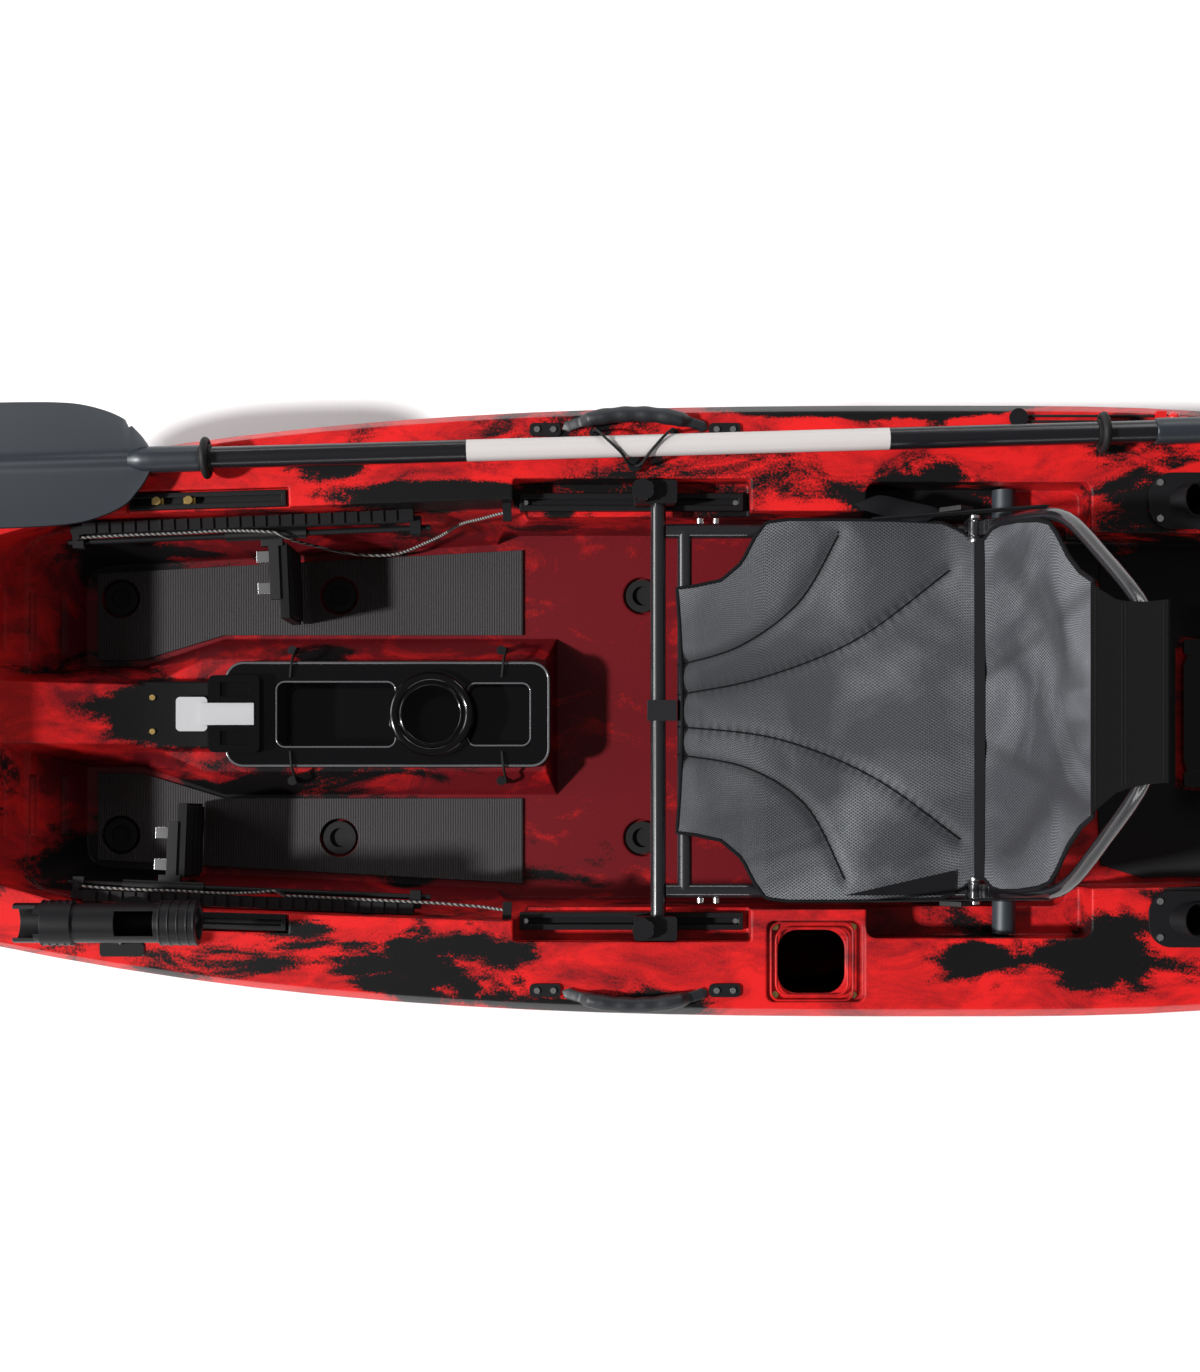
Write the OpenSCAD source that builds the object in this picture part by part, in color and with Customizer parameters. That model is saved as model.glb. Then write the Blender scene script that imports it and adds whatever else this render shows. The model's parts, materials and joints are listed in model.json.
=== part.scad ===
// Sit-on-top fishing kayak: hull, seat, foot steering, rudder, paddle and deck fittings.
// +X runs aft, +Y to starboard, +Z up. The origin is on the flat keel face, in the middle.

/* [Hull] */
// Length of the hull
hull_len = 3360; // [2800:10:4040]
// Greatest width of the hull
hull_beam = 836; // [780:2:1004]
// Distance of the widest section aft of the middle
beam_x = 470; // [300:10:560]
// Height of the side decks above the keel
deck_h = 300; // [285:1:360]
// How much higher than the side decks the bow stands
bow_rise = 100; // [60:2:120]
// Thickness of the moulded wall
hull_wall = 6; // [4:0.5:8]
// Height of the cockpit floor
floor_h = 110; // [90:1:120]
// Height of the floor of the rear well
tank_h = 195; // [180:1:210]
// Diameter of the throat of a scupper hole
scupper_d = 40; // [30:1:46]

/* [Console tray] */
// Length of the tray's rim
pod_len = 459; // [440:1:470]
// Width of the tray's rim
pod_w = 150; // [140:1:154]
// Height of the tray's rim above the console
pod_rise = 25; // [18:1:34]
// Diameter of the cup bore in the tray
cup_d = 80; // [66:1:88]

/* [Seat] */
// Distance between the two side tubes of the seat
seat_w = 488; // [440:2:500]
// Diameter of the seat's tubes
seat_tube_d = 20; // [16:1:22]
// Height of the back along its slope
back_h = 447; // [380:1:520]
// Lean of the back from upright, in degrees
back_lean = 17.7; // [10:0.1:25]

/* [Foot steering] */
// Diameter of a steering rod
rod_d = 8; // [6:0.5:9]
// Width of a pedal
pedal_w = 104; // [80:1:108]
// Height of a pedal
pedal_h = 112; // [90:1:116]

/* [Paddle] */
// Length of the paddle
paddle_len = 2330; // [2100:10:2400]
// Diameter of the shaft
shaft_d = 29; // [26:0.5:32]
// Width of a blade
blade_w = 168; // [150:1:190]

/* [Rod holders] */
// Bore of the rod holder on the track
holder_bore = 44; // [38:0.5:48]
// Bore of the two tubes behind the seat
tube_bore = 42; // [38:0.5:44]

/* [Rudder] */
// Length of the blade below its pivot
rudder_len = 330; // [260:5:400]

/* [Hidden] */
$fn = 32;

half = hull_beam / 2;
tip_half = 9;
bow_rocker = 150;
stern_rocker = 110;
stern_rise = 30;
bow_rake = 150;
over = 40;          // how far a cut runs past the deck
gap = 0.3;          // clearance between pieces that move past each other
deck_edge = 0.965;  // share of the half width where the flat deck ends

// half of a cross section, from the keel to the middle of the deck: share of width, share of height
SECTION = [[0, 0], [0.42, 0], [0.64, 0.03], [0.81, 0.11], [0.92, 0.27], [0.97, 0.5],
    [0.99, 0.72], [1, 0.86], [0.992, 0.94], [deck_edge, 1], [0.8, 1], [0.4, 1], [0, 1]];
side_count = len(SECTION);
ring_count = 2 * side_count - 2;

// cockpit
well_front = -742;
well_split = -116;
well_rear = 640;
well_mid = 225;               // height where the sloped lower wall meets the upright upper wall
foot_floor_front = half - 202;
foot_floor_rear = half - 166;
foot_mid_front = half - 154;
foot_mid_rear = half - 133;
seat_floor_half = half - 156;
seat_mid_half = half - 150;
ledge_x0 = -118;
ledge_x1 = 204;
ledge_half = half - 105;
ledge_z = deck_h - 50;
recess_x0 = 359;
recess_x1 = 664;
recess_half = half - 110;
recess_z = deck_h - 70;
tank_end = hull_len / 2 - 350;

// console
console_foot = 112;
console_top = 80;
console_z = floor_h + 50;
shoulder_z = console_z + 18;
shoulder_half = 46;
shoulder_x0 = -645;
shoulder_x1 = -552;
ridge_half = 42;
pod_x1 = -70;
pod_x0 = pod_x1 - pod_len;
pod_top = console_z + pod_rise;
slot_half = 58;
slot_x0 = -508;
slot_x1 = -92;
slot_z = 62;
cup_x = -237;

// deck fittings
port_x0 = 225;
port_x1 = 357;
port_y0 = half - 134;
port_y1 = half - 24;
port_step = 12;
port_hole = [241, 332, half - 121, half - 35];
track_x0 = -636;
track_x1 = -424;
track_w = 22;
track_turn = 1.7;
track_mid = [(track_x0 + track_x1) / 2, half - 134];
hatch_x = -hull_len / 2 + 430;
hatch_len = 260;
hatch_w = 150;
rear_lid = [815, 1120, 100];
tube_x = 792;
tube_y = half - 136;
tube_tilt = 30;
handle_y = half - 40;
handle_x = [-74, 168];
SCUPPERS = [[-693, 171], [-377, 175], [61, 175]];
drain_x = hull_len / 2 - 130;

// foot steering
rail_start = [-712, half - 166];
rail_end = [-257, half - 147];
rail_turn = atan2(rail_end[1] - rail_start[1], rail_end[0] - rail_start[0]);
rail_len = norm(rail_end - rail_start);
rail_z = deck_h - 60;
rail_w = 15;
rail_tall = 24;
rod_z = rail_z - 6;
rod_side = rail_w / 2 + rod_d / 2 + 4.5;
rod_run = [-24, rail_len + 22];
collar_d = rod_d + 7;
collar_len = 112;
pedal_at = [250, 108];       // distance of each pedal's collar from the start of its rail

// seat
bar_x = 79;
bar_z = deck_h - 18;
bar_d = seat_tube_d + 1;
tube_z = bar_z;
front_tube_x = 115;
rear_bar_x = 556;
cap_r = 16;
rear_bar_z = recess_z + cap_r + gap;
clamp_x = 74;
clamp_y = half - 123;
pan_x0 = 104;
pan_x1 = 491;
pan_z = tube_z + seat_tube_d / 2 + gap;
pan_sag = 12;
hinge_x = 505;
hinge_z = tube_z + seat_tube_d / 2 + 12;
pin_r = 4;

// paddle
paddle_mid = [104, half - 65];
paddle_turn = 1.62;
ring_r = 28;
paddle_z = deck_h + ring_r + gap;
centre_half = 282;
throat = paddle_len / 2 - 460;
sleeve_len = 66;

// rod holder on the port track
holder_x = -628;
holder_y = -(half - 134) + (track_mid[0] - holder_x) * sin(track_turn);
turn_z = deck_h + 40;
pin_z = deck_h + 65;
holder_r = holder_bore / 2 + 4;
holder_z = pin_z + holder_r + 7;
lug_half = 8;

// rudder
rudder_x = hull_len / 2 + 22;
rudder_top = deck_h + 100;

function ramp(x, a, b) = min(1, max(0, (x - a) / (b - a)));
function half_beam(x) = x < beam_x
    ? half * (1 - pow((beam_x - x) / (hull_len / 2 + beam_x + 8), 2.85))
    : half * (1 - pow((x - beam_x) / (hull_len / 2 - beam_x + 8), 3.2));
function keel_z(x) = bow_rocker * pow(ramp(-x, hull_len / 2 - 680, hull_len / 2), 2)
    + stern_rocker * pow(ramp(x, hull_len / 2 - 630, hull_len / 2), 2);
function sheer_z(x) = deck_h + bow_rise * pow(ramp(-x, 650, hull_len / 2), 1.8)
    + stern_rise * pow(ramp(x, 900, hull_len / 2), 2);
function crown(x) = 26 * ramp(-x, 900, 1250) + 14 * ramp(x, tank_end + 20, tank_end + 200);
function rake(x) = bow_rake * ramp(-x, hull_len / 2 - 460, hull_len / 2)
    - 60 * ramp(x, hull_len / 2 - 300, hull_len / 2);
function foot_slope_z(x) = x > -795 ? floor_h + (well_front - x) * (well_mid - floor_h) / 53
    : well_mid + (-795 - x) * 1.5;
function both(points) = concat(points, [for (i = [len(points) - 1:-1:0]) [points[i][0], -points[i][1]]]);
function rail_point(along, side) = rail_start
    + along * [cos(rail_turn), sin(rail_turn)] + side * [-sin(rail_turn), cos(rail_turn)];

// a smooth curve through the points, with steps pieces between each two
function curve(p, steps) = concat([for (i = [0:len(p) - 2]) for (k = [0:steps - 1])
    let (a = p[max(i - 1, 0)], b = p[i], c = p[i + 1], d = p[min(i + 2, len(p) - 1)], t = k / steps)
    0.5 * (2 * b + (c - a) * t + (2 * a - 5 * b + 4 * c - d) * t * t
        + (3 * b - a - 3 * c + d) * t * t * t)], [p[len(p) - 1]]);

// a round tube along a route; turn is a direction that the route never runs along
module tube(route, d, sides = 8, turn = [0, 0, 1]) {
    n = len(route);
    points = [for (i = [0:n - 1]) let (
        along = route[min(i + 1, n - 1)] - route[max(i - 1, 0)],
        across = cross(along, turn) / norm(cross(along, turn)),
        up = cross(across, along) / norm(along))
        for (j = [0:sides - 1]) route[i] + d / 2 * (cos(360 * j / sides) * across
            + sin(360 * j / sides) * up)];
    faces = concat(
        [[for (j = [sides - 1:-1:0]) j], [for (j = [0:sides - 1]) (n - 1) * sides + j]],
        [for (i = [0:n - 2]) for (j = [0:sides - 1])
            let (a = i * sides + j, b = i * sides + (j + 1) % sides) [a, b, b + sides, a + sides]]);
    polyhedron(points, faces, convexity = 6);
}

// a sheet from rows of points, with its second face moved by off
module slab(rows, off) {
    n = len(rows);
    m = len(rows[0]);
    points = concat([for (r = rows) each r], [for (r = rows) for (p = r) p + off]);
    k = n * m;
    edge = concat([for (j = [0:m - 2]) [j, j + 1]],
        [for (i = [0:n - 2]) [i * m + m - 1, (i + 1) * m + m - 1]],
        [for (j = [m - 1:-1:1]) [(n - 1) * m + j, (n - 1) * m + j - 1]],
        [for (i = [n - 1:-1:1]) [i * m, (i - 1) * m]]);
    faces = concat(
        [for (i = [0:n - 2]) for (j = [0:m - 2]) let (a = i * m + j)
            each [[a, a + m, a + m + 1], [a, a + m + 1, a + 1]]],
        [for (i = [0:n - 2]) for (j = [0:m - 2]) let (a = k + i * m + j)
            each [[a, a + m + 1, a + m], [a, a + 1, a + m + 1]]],
        [for (e = edge) [e[0], e[1], e[1] + k, e[0] + k]]);
    polyhedron(points, faces, convexity = 6);
}

module rod(a, b, r) {
    d = b - a;
    translate(a) rotate([0, acos(d[2] / norm(d)), atan2(d[1], d[0])]) cylinder(r = r, h = norm(d));
}

// a block with upright edges of radius r
module block(x0, x1, y0, y1, z0, z1, r) {
    translate([x0 + r, y0, z0]) cube([x1 - x0 - 2 * r, y1 - y0, z1 - z0]);
    translate([x0, y0 + r, z0]) cube([x1 - x0, y1 - y0 - 2 * r, z1 - z0]);
    for (x = [x0 + r, x1 - r], y = [y0 + r, y1 - r]) translate([x, y, z0]) cylinder(r = r, h = z1 - z0);
}

module both_sides() {
    children();
    mirror([0, 1, 0]) children();
}

module on_rail(along, side, z) {
    p = rail_point(along, side);
    translate([p[0], p[1], z]) rotate([0, 0, rail_turn]) children();
}

module round_outline(points, r, g) {
    offset(r = r + g, $fn = 16) offset(delta = -r) polygon(points);
}

module well(low, z0, high, z1, r, g) {
    hull() {
        translate([0, 0, z0 - g]) linear_extrude(0.5) round_outline(low, r, g);
        translate([0, 0, z1]) linear_extrude(0.5) round_outline(high, r, g);
    }
}

module hull_loft(inset) {
    n = 46;
    x0 = -hull_len / 2 + 3 * inset;
    x1 = hull_len / 2 - 3 * inset;
    points = [for (i = [0:n]) let (
        t = 0.45 * i / n + 0.55 * (1 - cos(180 * i / n)) / 2,
        x = x0 + (x1 - x0) * t,
        b = max(inset > 0 ? 2.5 : tip_half, half_beam(x) - inset),
        low = keel_z(x) + inset,
        high = sheer_z(x) - inset)
        for (j = [0:ring_count - 1]) let (
            s = SECTION[j < side_count ? j : ring_count - j],
            y = (j < side_count ? 1 : -1) * s[0] * b,
            z = low + (high - low) * s[1] + (j == side_count - 1 ? crown(x)
                : s[0] < 0.6 && s[1] == 1 ? 0.8 * crown(x) : s[0] == 0.8 ? 0.35 * crown(x) : 0))
            [x + rake(x) * pow(1 - s[1], 2), y, z]];
    cap = [for (j = [0:side_count - 2]) j == 0 ? [0, 1, ring_count - 1]
        : j == side_count - 2 ? [j, j + 1, ring_count - j]
        : [j, j + 1, ring_count - j - 1, ring_count - j]];
    faces = concat(
        [for (i = [0:n - 1]) for (j = [0:ring_count - 1])
            let (a = i * ring_count + j, b = i * ring_count + (j + 1) % ring_count,
                c = b + ring_count, d = a + ring_count)
            each [[a, c, b], [a, d, c]]],
        cap,
        [for (f = cap) [for (k = [len(f) - 1:-1:0]) f[k] + n * ring_count]]);
    polyhedron(points, faces, convexity = 10);
}

// the console that stands in the cockpit; g makes it smaller
module console(g) {
    hull() {
        translate([-900, -72 + g, 60]) cube([260 - g, 144 - 2 * g, floor_h - 59 - g]);
        translate([-900, -ridge_half + g, deck_h - 12 - g]) cube([10, 2 * (ridge_half - g), 1]);
        translate([-645, -ridge_half + g, shoulder_z - g - 1]) cube([5 - g / 2, 2 * (ridge_half - g), 1]);
    }
    hull() {
        translate([0, 0, 60]) linear_extrude(floor_h - 59 - g) offset(delta = -g)
            polygon(both([[-662, 72], [-543, console_foot], [-62, console_foot]]));
        translate([0, 0, console_z - g - 1]) linear_extrude(1) offset(delta = -g)
            polygon(both([[-640, 44], [-562, console_top], [-76, console_top]]));
    }
    hull() {
        translate([shoulder_x0 - 15, -shoulder_half + g, shoulder_z - g - 1])
            cube([shoulder_x1 - shoulder_x0 + 15 - g, 2 * (shoulder_half - g), 1]);
        translate([shoulder_x0 - 15, -shoulder_half - 16 + g, console_z - 30])
            cube([shoulder_x1 - shoulder_x0 + 15 - g, 2 * (shoulder_half + 16 - g), 1]);
    }
}

module cockpit(g) {
    top = deck_h + over;
    well(both([[well_front, foot_floor_front], [well_split + 20, foot_floor_rear]]), floor_h,
        both([[-795, half - 176], [-704, foot_mid_front], [well_split + 20, foot_mid_rear]]), well_mid, 30, g);
    well(both([[-800, half - 178], [-704, foot_mid_front], [well_split + 20, foot_mid_rear]]), well_mid - 5,
        both([[-872, half - 200], [-704, foot_mid_front + 2], [well_split + 20, foot_mid_rear + 2]]),
        top, 30, g);
    well(both([[-150, seat_floor_half], [well_rear, seat_floor_half]]), floor_h,
        both([[-150, seat_mid_half], [well_rear + 6, seat_mid_half]]), well_mid, 22, g);
    well(both([[-150, seat_mid_half], [well_rear + 6, seat_mid_half]]), well_mid - 5,
        both([[-150, seat_mid_half + 2], [well_rear + 8, seat_mid_half + 2]]), top, 22, g);
}

// everything that is sunk into the deck; g makes each cut larger, which leaves the wall round it
module cuts(g) {
    top = deck_h + over;
    difference() {
        cockpit(g);
        console(g);
    }
    translate([0, 0, ledge_z - g]) linear_extrude(over + 60)
        round_outline(both([[ledge_x0, ledge_half], [ledge_x1, ledge_half]]), 5, g);
    translate([0, 0, recess_z - g]) linear_extrude(over + 80)
        round_outline(both([[recess_x0, recess_half], [recess_x1, recess_half]]), 14, g);
    translate([0, 0, tank_h - g]) linear_extrude(top - tank_h + g)
        round_outline(both([[well_rear - 60, half - 176], [1000, half - 182], [tank_end, half - 262]]), 40, g);
    translate([0, 0, slot_z - g]) linear_extrude(console_z - slot_z + 12 + g)
        round_outline(both([[slot_x0, slot_half], [slot_x1, slot_half]]), 20, g);
    both_sides() translate([track_mid[0], track_mid[1], deck_h - 12 - g]) rotate([0, 0, track_turn])
        translate([-(track_x1 - track_x0) / 2 - 4 - g, -track_w / 2 - 3 - g, 0])
            cube([track_x1 - track_x0 + 8 + 2 * g, track_w + 6 + 2 * g, over]);
    translate([0, 0, deck_h - port_step - g]) linear_extrude(over) round_outline(
        [[port_x0, -port_y0], [port_x1, -port_y0], [port_x1, -port_y1], [port_x0, -port_y1]], 10, g);
    translate([0, 0, sheer_z(hatch_x) - 4 - g]) linear_extrude(over + 20)
        round_outline(both([[hatch_x - hatch_len / 2, hatch_w / 2], [hatch_x + hatch_len / 2, hatch_w / 2]]),
            60, g);
    for (p = SCUPPERS, side = [1, -1]) translate([p[0], side * p[1], 0]) {
        translate([0, 0, -5]) cylinder(d = scupper_d + 2 * g, h = floor_h, $fn = 20);
        translate([0, 0, floor_h - 7 - g]) cylinder(d = scupper_d + 14 + 2 * g, h = 12 + g, $fn = 20);
    }
    for (side = [1, -1], x = [-763, -790, -815]) translate([x, side * 128, foot_slope_z(x)])
        rotate([90, 0, 0]) cylinder(d = 14 + 2 * g, h = 84 + 2 * g, center = true, $fn = 8);
}

// holes that open the moulding to its inside
module openings() {
    translate([0, 0, deck_h - 60]) linear_extrude(100) offset(r = 26, $fn = 24) offset(delta = -26)
        polygon([[port_hole[0], -port_hole[2]], [port_hole[1], -port_hole[2]],
            [port_hole[1], -port_hole[3]], [port_hole[0], -port_hole[3]]]);
    translate([0, 0, sheer_z(hatch_x) - 30]) linear_extrude(100) round_outline(
        both([for (s = [-1, 1]) [hatch_x + s * (hatch_len / 2 - 16), hatch_w / 2 - 16]]),
        46, 0);
    translate([0, 0, tank_h - 20]) linear_extrude(60) round_outline(
        both([[rear_lid[0] + 22, rear_lid[2] - 20], [rear_lid[1] - 22, rear_lid[2] - 20]]), 26, 0);
    both_sides() translate([tube_x, tube_y, deck_h]) rotate([0, tube_tilt, 0])
        translate([0, 0, -20]) cylinder(d = tube_bore + 10, h = 60, $fn = 24);
    translate([drain_x, 0, deck_h - 20]) cylinder(d = 22.6, h = 100, $fn = 16);
}

module hull_moulding() color("firebrick") difference() {
    hull_loft(0);
    cuts(0);
    difference() {
        hull_loft(hull_wall);
        cuts(hull_wall);
    }
    openings();
}

// ---- pieces fixed to the hull ----

module drain_plug() color("black") translate([drain_x, 0, sheer_z(drain_x) + crown(drain_x)]) {
    translate([0, 0, -14]) cylinder(d = 20, h = 15);
    translate([0, 0, 0.6]) cylinder(d = 34, h = 4);
    translate([-13, -2.5, 4]) cube([26, 5, 7]);
}

module t_channel(length, w, h, slot) {
    difference() {
        translate([0, -w / 2, 0]) cube([length, w, h]);
        translate([6, -slot / 2, 3]) cube([length - 12, slot, h]);
        translate([6, -w / 2 + 2.5, 3]) cube([length - 12, w - 5, h - 6]);
    }
}

module gear_tracks() color([0.08, 0.08, 0.09]) both_sides()
    translate([track_mid[0], track_mid[1], deck_h - 12]) rotate([0, 0, track_turn])
        translate([-(track_x1 - track_x0) / 2, 0, 0]) t_channel(track_x1 - track_x0, track_w, 11.5, 9);

module track_nuts() color("goldenrod") translate([track_mid[0], track_mid[1], deck_h - 12])
    rotate([0, 0, track_turn]) for (x = [-68, -25]) translate([x, 0, 0]) {
        translate([-8, -7.5, 3.4]) cube([16, 15, 4.4]);
        translate([0, 0, 7.5]) cylinder(d = 7.4, h = 6.5);
        translate([0, 0, 12]) cylinder(d = 11, h = 3.5);
    }

module seat_rails() color([0.07, 0.07, 0.08]) both_sides()
    translate([ledge_x0 + 8, half - 131, ledge_z]) t_channel(ledge_x1 - ledge_x0 - 16, 24, 13, 9);

module foot_rails() color([0.09, 0.09, 0.1]) both_sides() {
    on_rail(0, 0, rail_z) {
        translate([0, -rail_w / 2, -rail_tall / 2]) cube([rail_len, rail_w, rail_tall]);
        for (x = [14:18:rail_len - 14]) translate([x, -rail_w / 2, rail_tall / 2 - 0.5])
            cube([5, rail_w, 3]);
        for (foot = [[2, 5.2], [rail_len - 22, 2.1]])
            translate([foot[0], rail_w / 2 - 0.5, -9]) cube([20, foot[1], 18]);
    }
    for (x = [rod_run[0] + 8, rail_len - 6]) on_rail(x, 0, rod_z) difference() {
        translate([0, -rod_side - 9, -10]) cube([15, rod_side + 9 - (x < 0 ? -3 : 0), 20]);
        translate([-1, -rod_side, 0]) rotate([0, 90, 0]) cylinder(d = rod_d + 2 * gap, h = 20);
    }
    on_rail(-18, 0, rail_z) translate([0, -5, -14]) cube([20, 10, 18]);
}

module foot_mats() color([0.3, 0.3, 0.32]) both_sides() difference() {
    translate([0, 0, floor_h]) linear_extrude(4) polygon([[-726, 81], [-662, 82], [-543, console_foot + 6],
        [well_split + 4, console_foot + 6], [well_split + 4, foot_floor_rear - 11],
        [-726, foot_floor_front - 9]]);
    for (p = SCUPPERS) translate([p[0], p[1], floor_h - 1]) cylinder(d = scupper_d + 16, h = 8);
}

module tank_mat() color([0.12, 0.12, 0.13]) translate([0, 0, tank_h]) linear_extrude(4) difference() {
    polygon(both([[well_rear + 52, 0], [well_rear + 62, half - 206], [760, half - 188], [990, half - 192],
        [tank_end - 20, half - 268]]));
    translate([rear_lid[0] - 8, -rear_lid[2] - 8])
        square([rear_lid[1] - rear_lid[0] + 40, 2 * rear_lid[2] + 16]);
}

module rod_tubes() color([0.06, 0.06, 0.07]) both_sides() {
    difference() {
        union() {
            translate([tube_x - 52, tube_y - 38, deck_h]) block(0, 104, 0, 76, 0.2, 5, 30);
            translate([tube_x, tube_y, deck_h]) rotate([0, tube_tilt, 0])
                translate([0, 0, -195]) cylinder(d = tube_bore + 5, h = 214);
        }
        translate([tube_x, tube_y, deck_h]) rotate([0, tube_tilt, 0])
            translate([0, 0, -191]) cylinder(d = tube_bore, h = 240);
    }
}

module screw(x, y, z, d, h = 2.6) translate([x, y, z]) {
    cylinder(d = d, h = h);
    translate([0, 0, -5]) cylinder(d = d * 0.45, h = 5.5);
}

module brass_screws() color("goldenrod") {
    for (x = [port_x0 + 12, port_x1 - 14], y = [port_y0 + 9, port_y1 - 9])
        screw(x, -y, deck_h - port_step + 0.1, 9);
    for (side = [1, -1]) screw(-632, side * 24, shoulder_z + 0.1, 8);
}

module steel_screws() color("silver") both_sides() {
    for (x = handle_x, s = [-11, 11]) screw(x + s, handle_y, deck_h + 4.1, 8);
    for (x = [tube_x - 38, tube_x + 38], s = [-27, 27]) screw(x, tube_y + s * 0.9, deck_h + 5.1, 9);
    for (x = [ledge_x0 + 16, ledge_x1 - 18]) screw(x, half - 131, ledge_z + 3.1, 7);
}

module handle_plates() color([0.07, 0.07, 0.08]) both_sides() for (x = handle_x)
    translate([x, handle_y, deck_h]) block(-21, 21, -9, 9, 0, 4, 6);

// padded grip on webbing that runs into the two plates
module handle() {
    color([0.05, 0.05, 0.06]) for (s = [0, 1]) hull() {
        translate([handle_x[s] + (s == 0 ? 22 : -25), handle_y - 7, deck_h + 0.6]) cube([3, 14, 3]);
        translate([handle_x[s] + (s == 0 ? 51 : -52), handle_y + 8, deck_h + 12]) cube([1, 14, 4]);
    }
    color([0.12, 0.12, 0.14]) hull() for (end = [[handle_x[0] + 50, 22], [handle_x[0] + 70, 28],
            [handle_x[1] - 71, 28], [handle_x[1] - 51, 22]])
        translate([end[0], handle_y + 15.5, deck_h + 15.5]) rotate([0, 90, 0])
            cylinder(d = end[1], h = 1, $fn = 20);
}
module starboard_handle() handle();
module port_handle() mirror([0, 1, 0]) handle();

module scupper_plugs() color([0.1, 0.1, 0.1]) for (p = SCUPPERS, side = [1, -1])
    translate([p[0], side * p[1], floor_h - 7]) difference() {
        union() {
            translate([0, 0, 0.2]) cylinder(d = scupper_d + 7, h = 7);
            translate([0, 0, -40]) cylinder(d = scupper_d - 1.4, h = 41);
        }
        translate([0, 0, 1.5]) cylinder(d = scupper_d - 12, h = 10);
        translate([0, 0, -41]) cylinder(d = scupper_d - 9, h = 38);
    }

module pod_hooks() color([0.1, 0.1, 0.1]) for (x = [-439, -141], side = [1, -1])
    translate([x, side * 93, console_z - 21]) {
        cylinder(d = 9, h = 9);
        translate([0, 0, 9]) cylinder(d = 13, h = 3);
    }

module deck_buttons() color([0.06, 0.06, 0.07]) {
    for (b = [[47, half - 88, 20], [563, half - 25, 25]]) translate([b[0], b[1], deck_h]) {
        cylinder(d = 15, h = 7);
        translate([0, 0, 7]) cylinder(d = b[2], h = 4);
    }
    for (x = [-9, 100]) translate([x, half - 44, deck_h]) cylinder(d = 11, h = 5);
}

module cord_eyes() color("silver") both_sides() {
    on_rail(-8, -rod_side + 4, rod_z + 10) cylinder(d = 8, h = 8);
    on_rail(rail_len + 124, -16, rail_z + 21) cube([12, 24.3, 9]);
}

// ---- elastic loops and lines ----

module bungee_loops() color([0.08, 0.08, 0.08]) for (x = [-439, -141], side = [1, -1])
    tube(curve([[x + 8, side * 96, console_z - 14], [x + 8, side * 92, console_z + 8],
        [x + 6, side * (pod_w / 2 + 5), pod_top - 1], [x + 5, side * (pod_w / 2 - 3), pod_top + 4.8],
        [x + 3, side * 52, pod_top + 3]], 4), 4, 8, [1, 0, 0]);

module keeper_bungee() color([0.05, 0.05, 0.05]) tube(curve([
    [-9, half - 44, deck_h + 7.6], [-8, half - 44, deck_h + 20], [-3, half - 48, paddle_z + 9],
    [8, half - 60, paddle_z + shaft_d / 2 + 4], [28, half - 78, paddle_z + 14],
    [38, half - 89, deck_h + 22], [47, half - 91, deck_h + 15], [56, half - 89, deck_h + 22],
    [66, half - 78, paddle_z + 14], [84, half - 58, paddle_z + shaft_d / 2 + 4],
    [96, half - 46, paddle_z + 9], [99, half - 44, deck_h + 20], [100, half - 44, deck_h + 7.6]], 3),
    4, 8, [0, 0, 1]);

module lift_line() color([0.05, 0.05, 0.05]) for (y = [half - 29, half - 21.5])
    rod([576, y, deck_h + 2.4], [747, y, deck_h + 2.4], 1.8);

module lift_toggle() {
    color([0.06, 0.06, 0.07]) translate([748, half - 33, deck_h + gap]) cube([13, 16, 13]);
    color("red") translate([772, half - 25, deck_h + 8.4]) rotate([0, 90, 0]) rotate_extrude()
        intersection() {
            circle(d = 16);
            translate([1.5, -10]) square(20);
        }
    color([0.05, 0.05, 0.05]) rod([761, half - 25, deck_h + 8.4], [790, half - 25, deck_h + 8.4], 1.8);
}

STEERING_ROUTE = [[-720, 0, 0], [-700, 0.8, -1], [-640, 1.4, -3], [-580, 0.8, -4], [-520, 1, -3],
    [-480, -2, 4], [-462, -4, 6], [-446, -6, 5], [-433, -12, 1], [-420, -16, -20], [-395, -19, -66],
    [-360, -25, -98], [-325, -28, -112], [-290, -27, -114], [-255, -17, -104], [-225, -9, -80],
    [-195, 1, -46], [-165, 2, -14], [-140, 4, 8], [-122, 5, 16]];
function steering_route(sag) = [for (p = STEERING_ROUTE)
    [p[0], half - 178.5 + 0.048 * (p[0] + 712) + p[1] * (p[1] < -6 ? sag : 1),
        rail_z + 9 + p[2] * (p[2] < -4 ? sag : 1)]];
module starboard_steering_cord() color([0.2, 0.2, 0.2])
    tube(curve(steering_route(1), 3), 4, 8, [0, 0, 1]);
module port_steering_cord() color([0.2, 0.2, 0.2]) mirror([0, 1, 0])
    tube(curve(steering_route(0), 3), 4, 8, [0, 0, 1]);

// ---- foot steering ----

module steering_rod() on_rail(0, -rod_side, rod_z) translate([rod_run[0], 0, 0]) rotate([0, 90, 0])
    cylinder(d = rod_d, h = rod_run[1] - rod_run[0]);
module starboard_steering_rod() color([0.12, 0.12, 0.13]) steering_rod();
module port_steering_rod() color([0.12, 0.12, 0.13]) mirror([0, 1, 0]) steering_rod();

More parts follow.
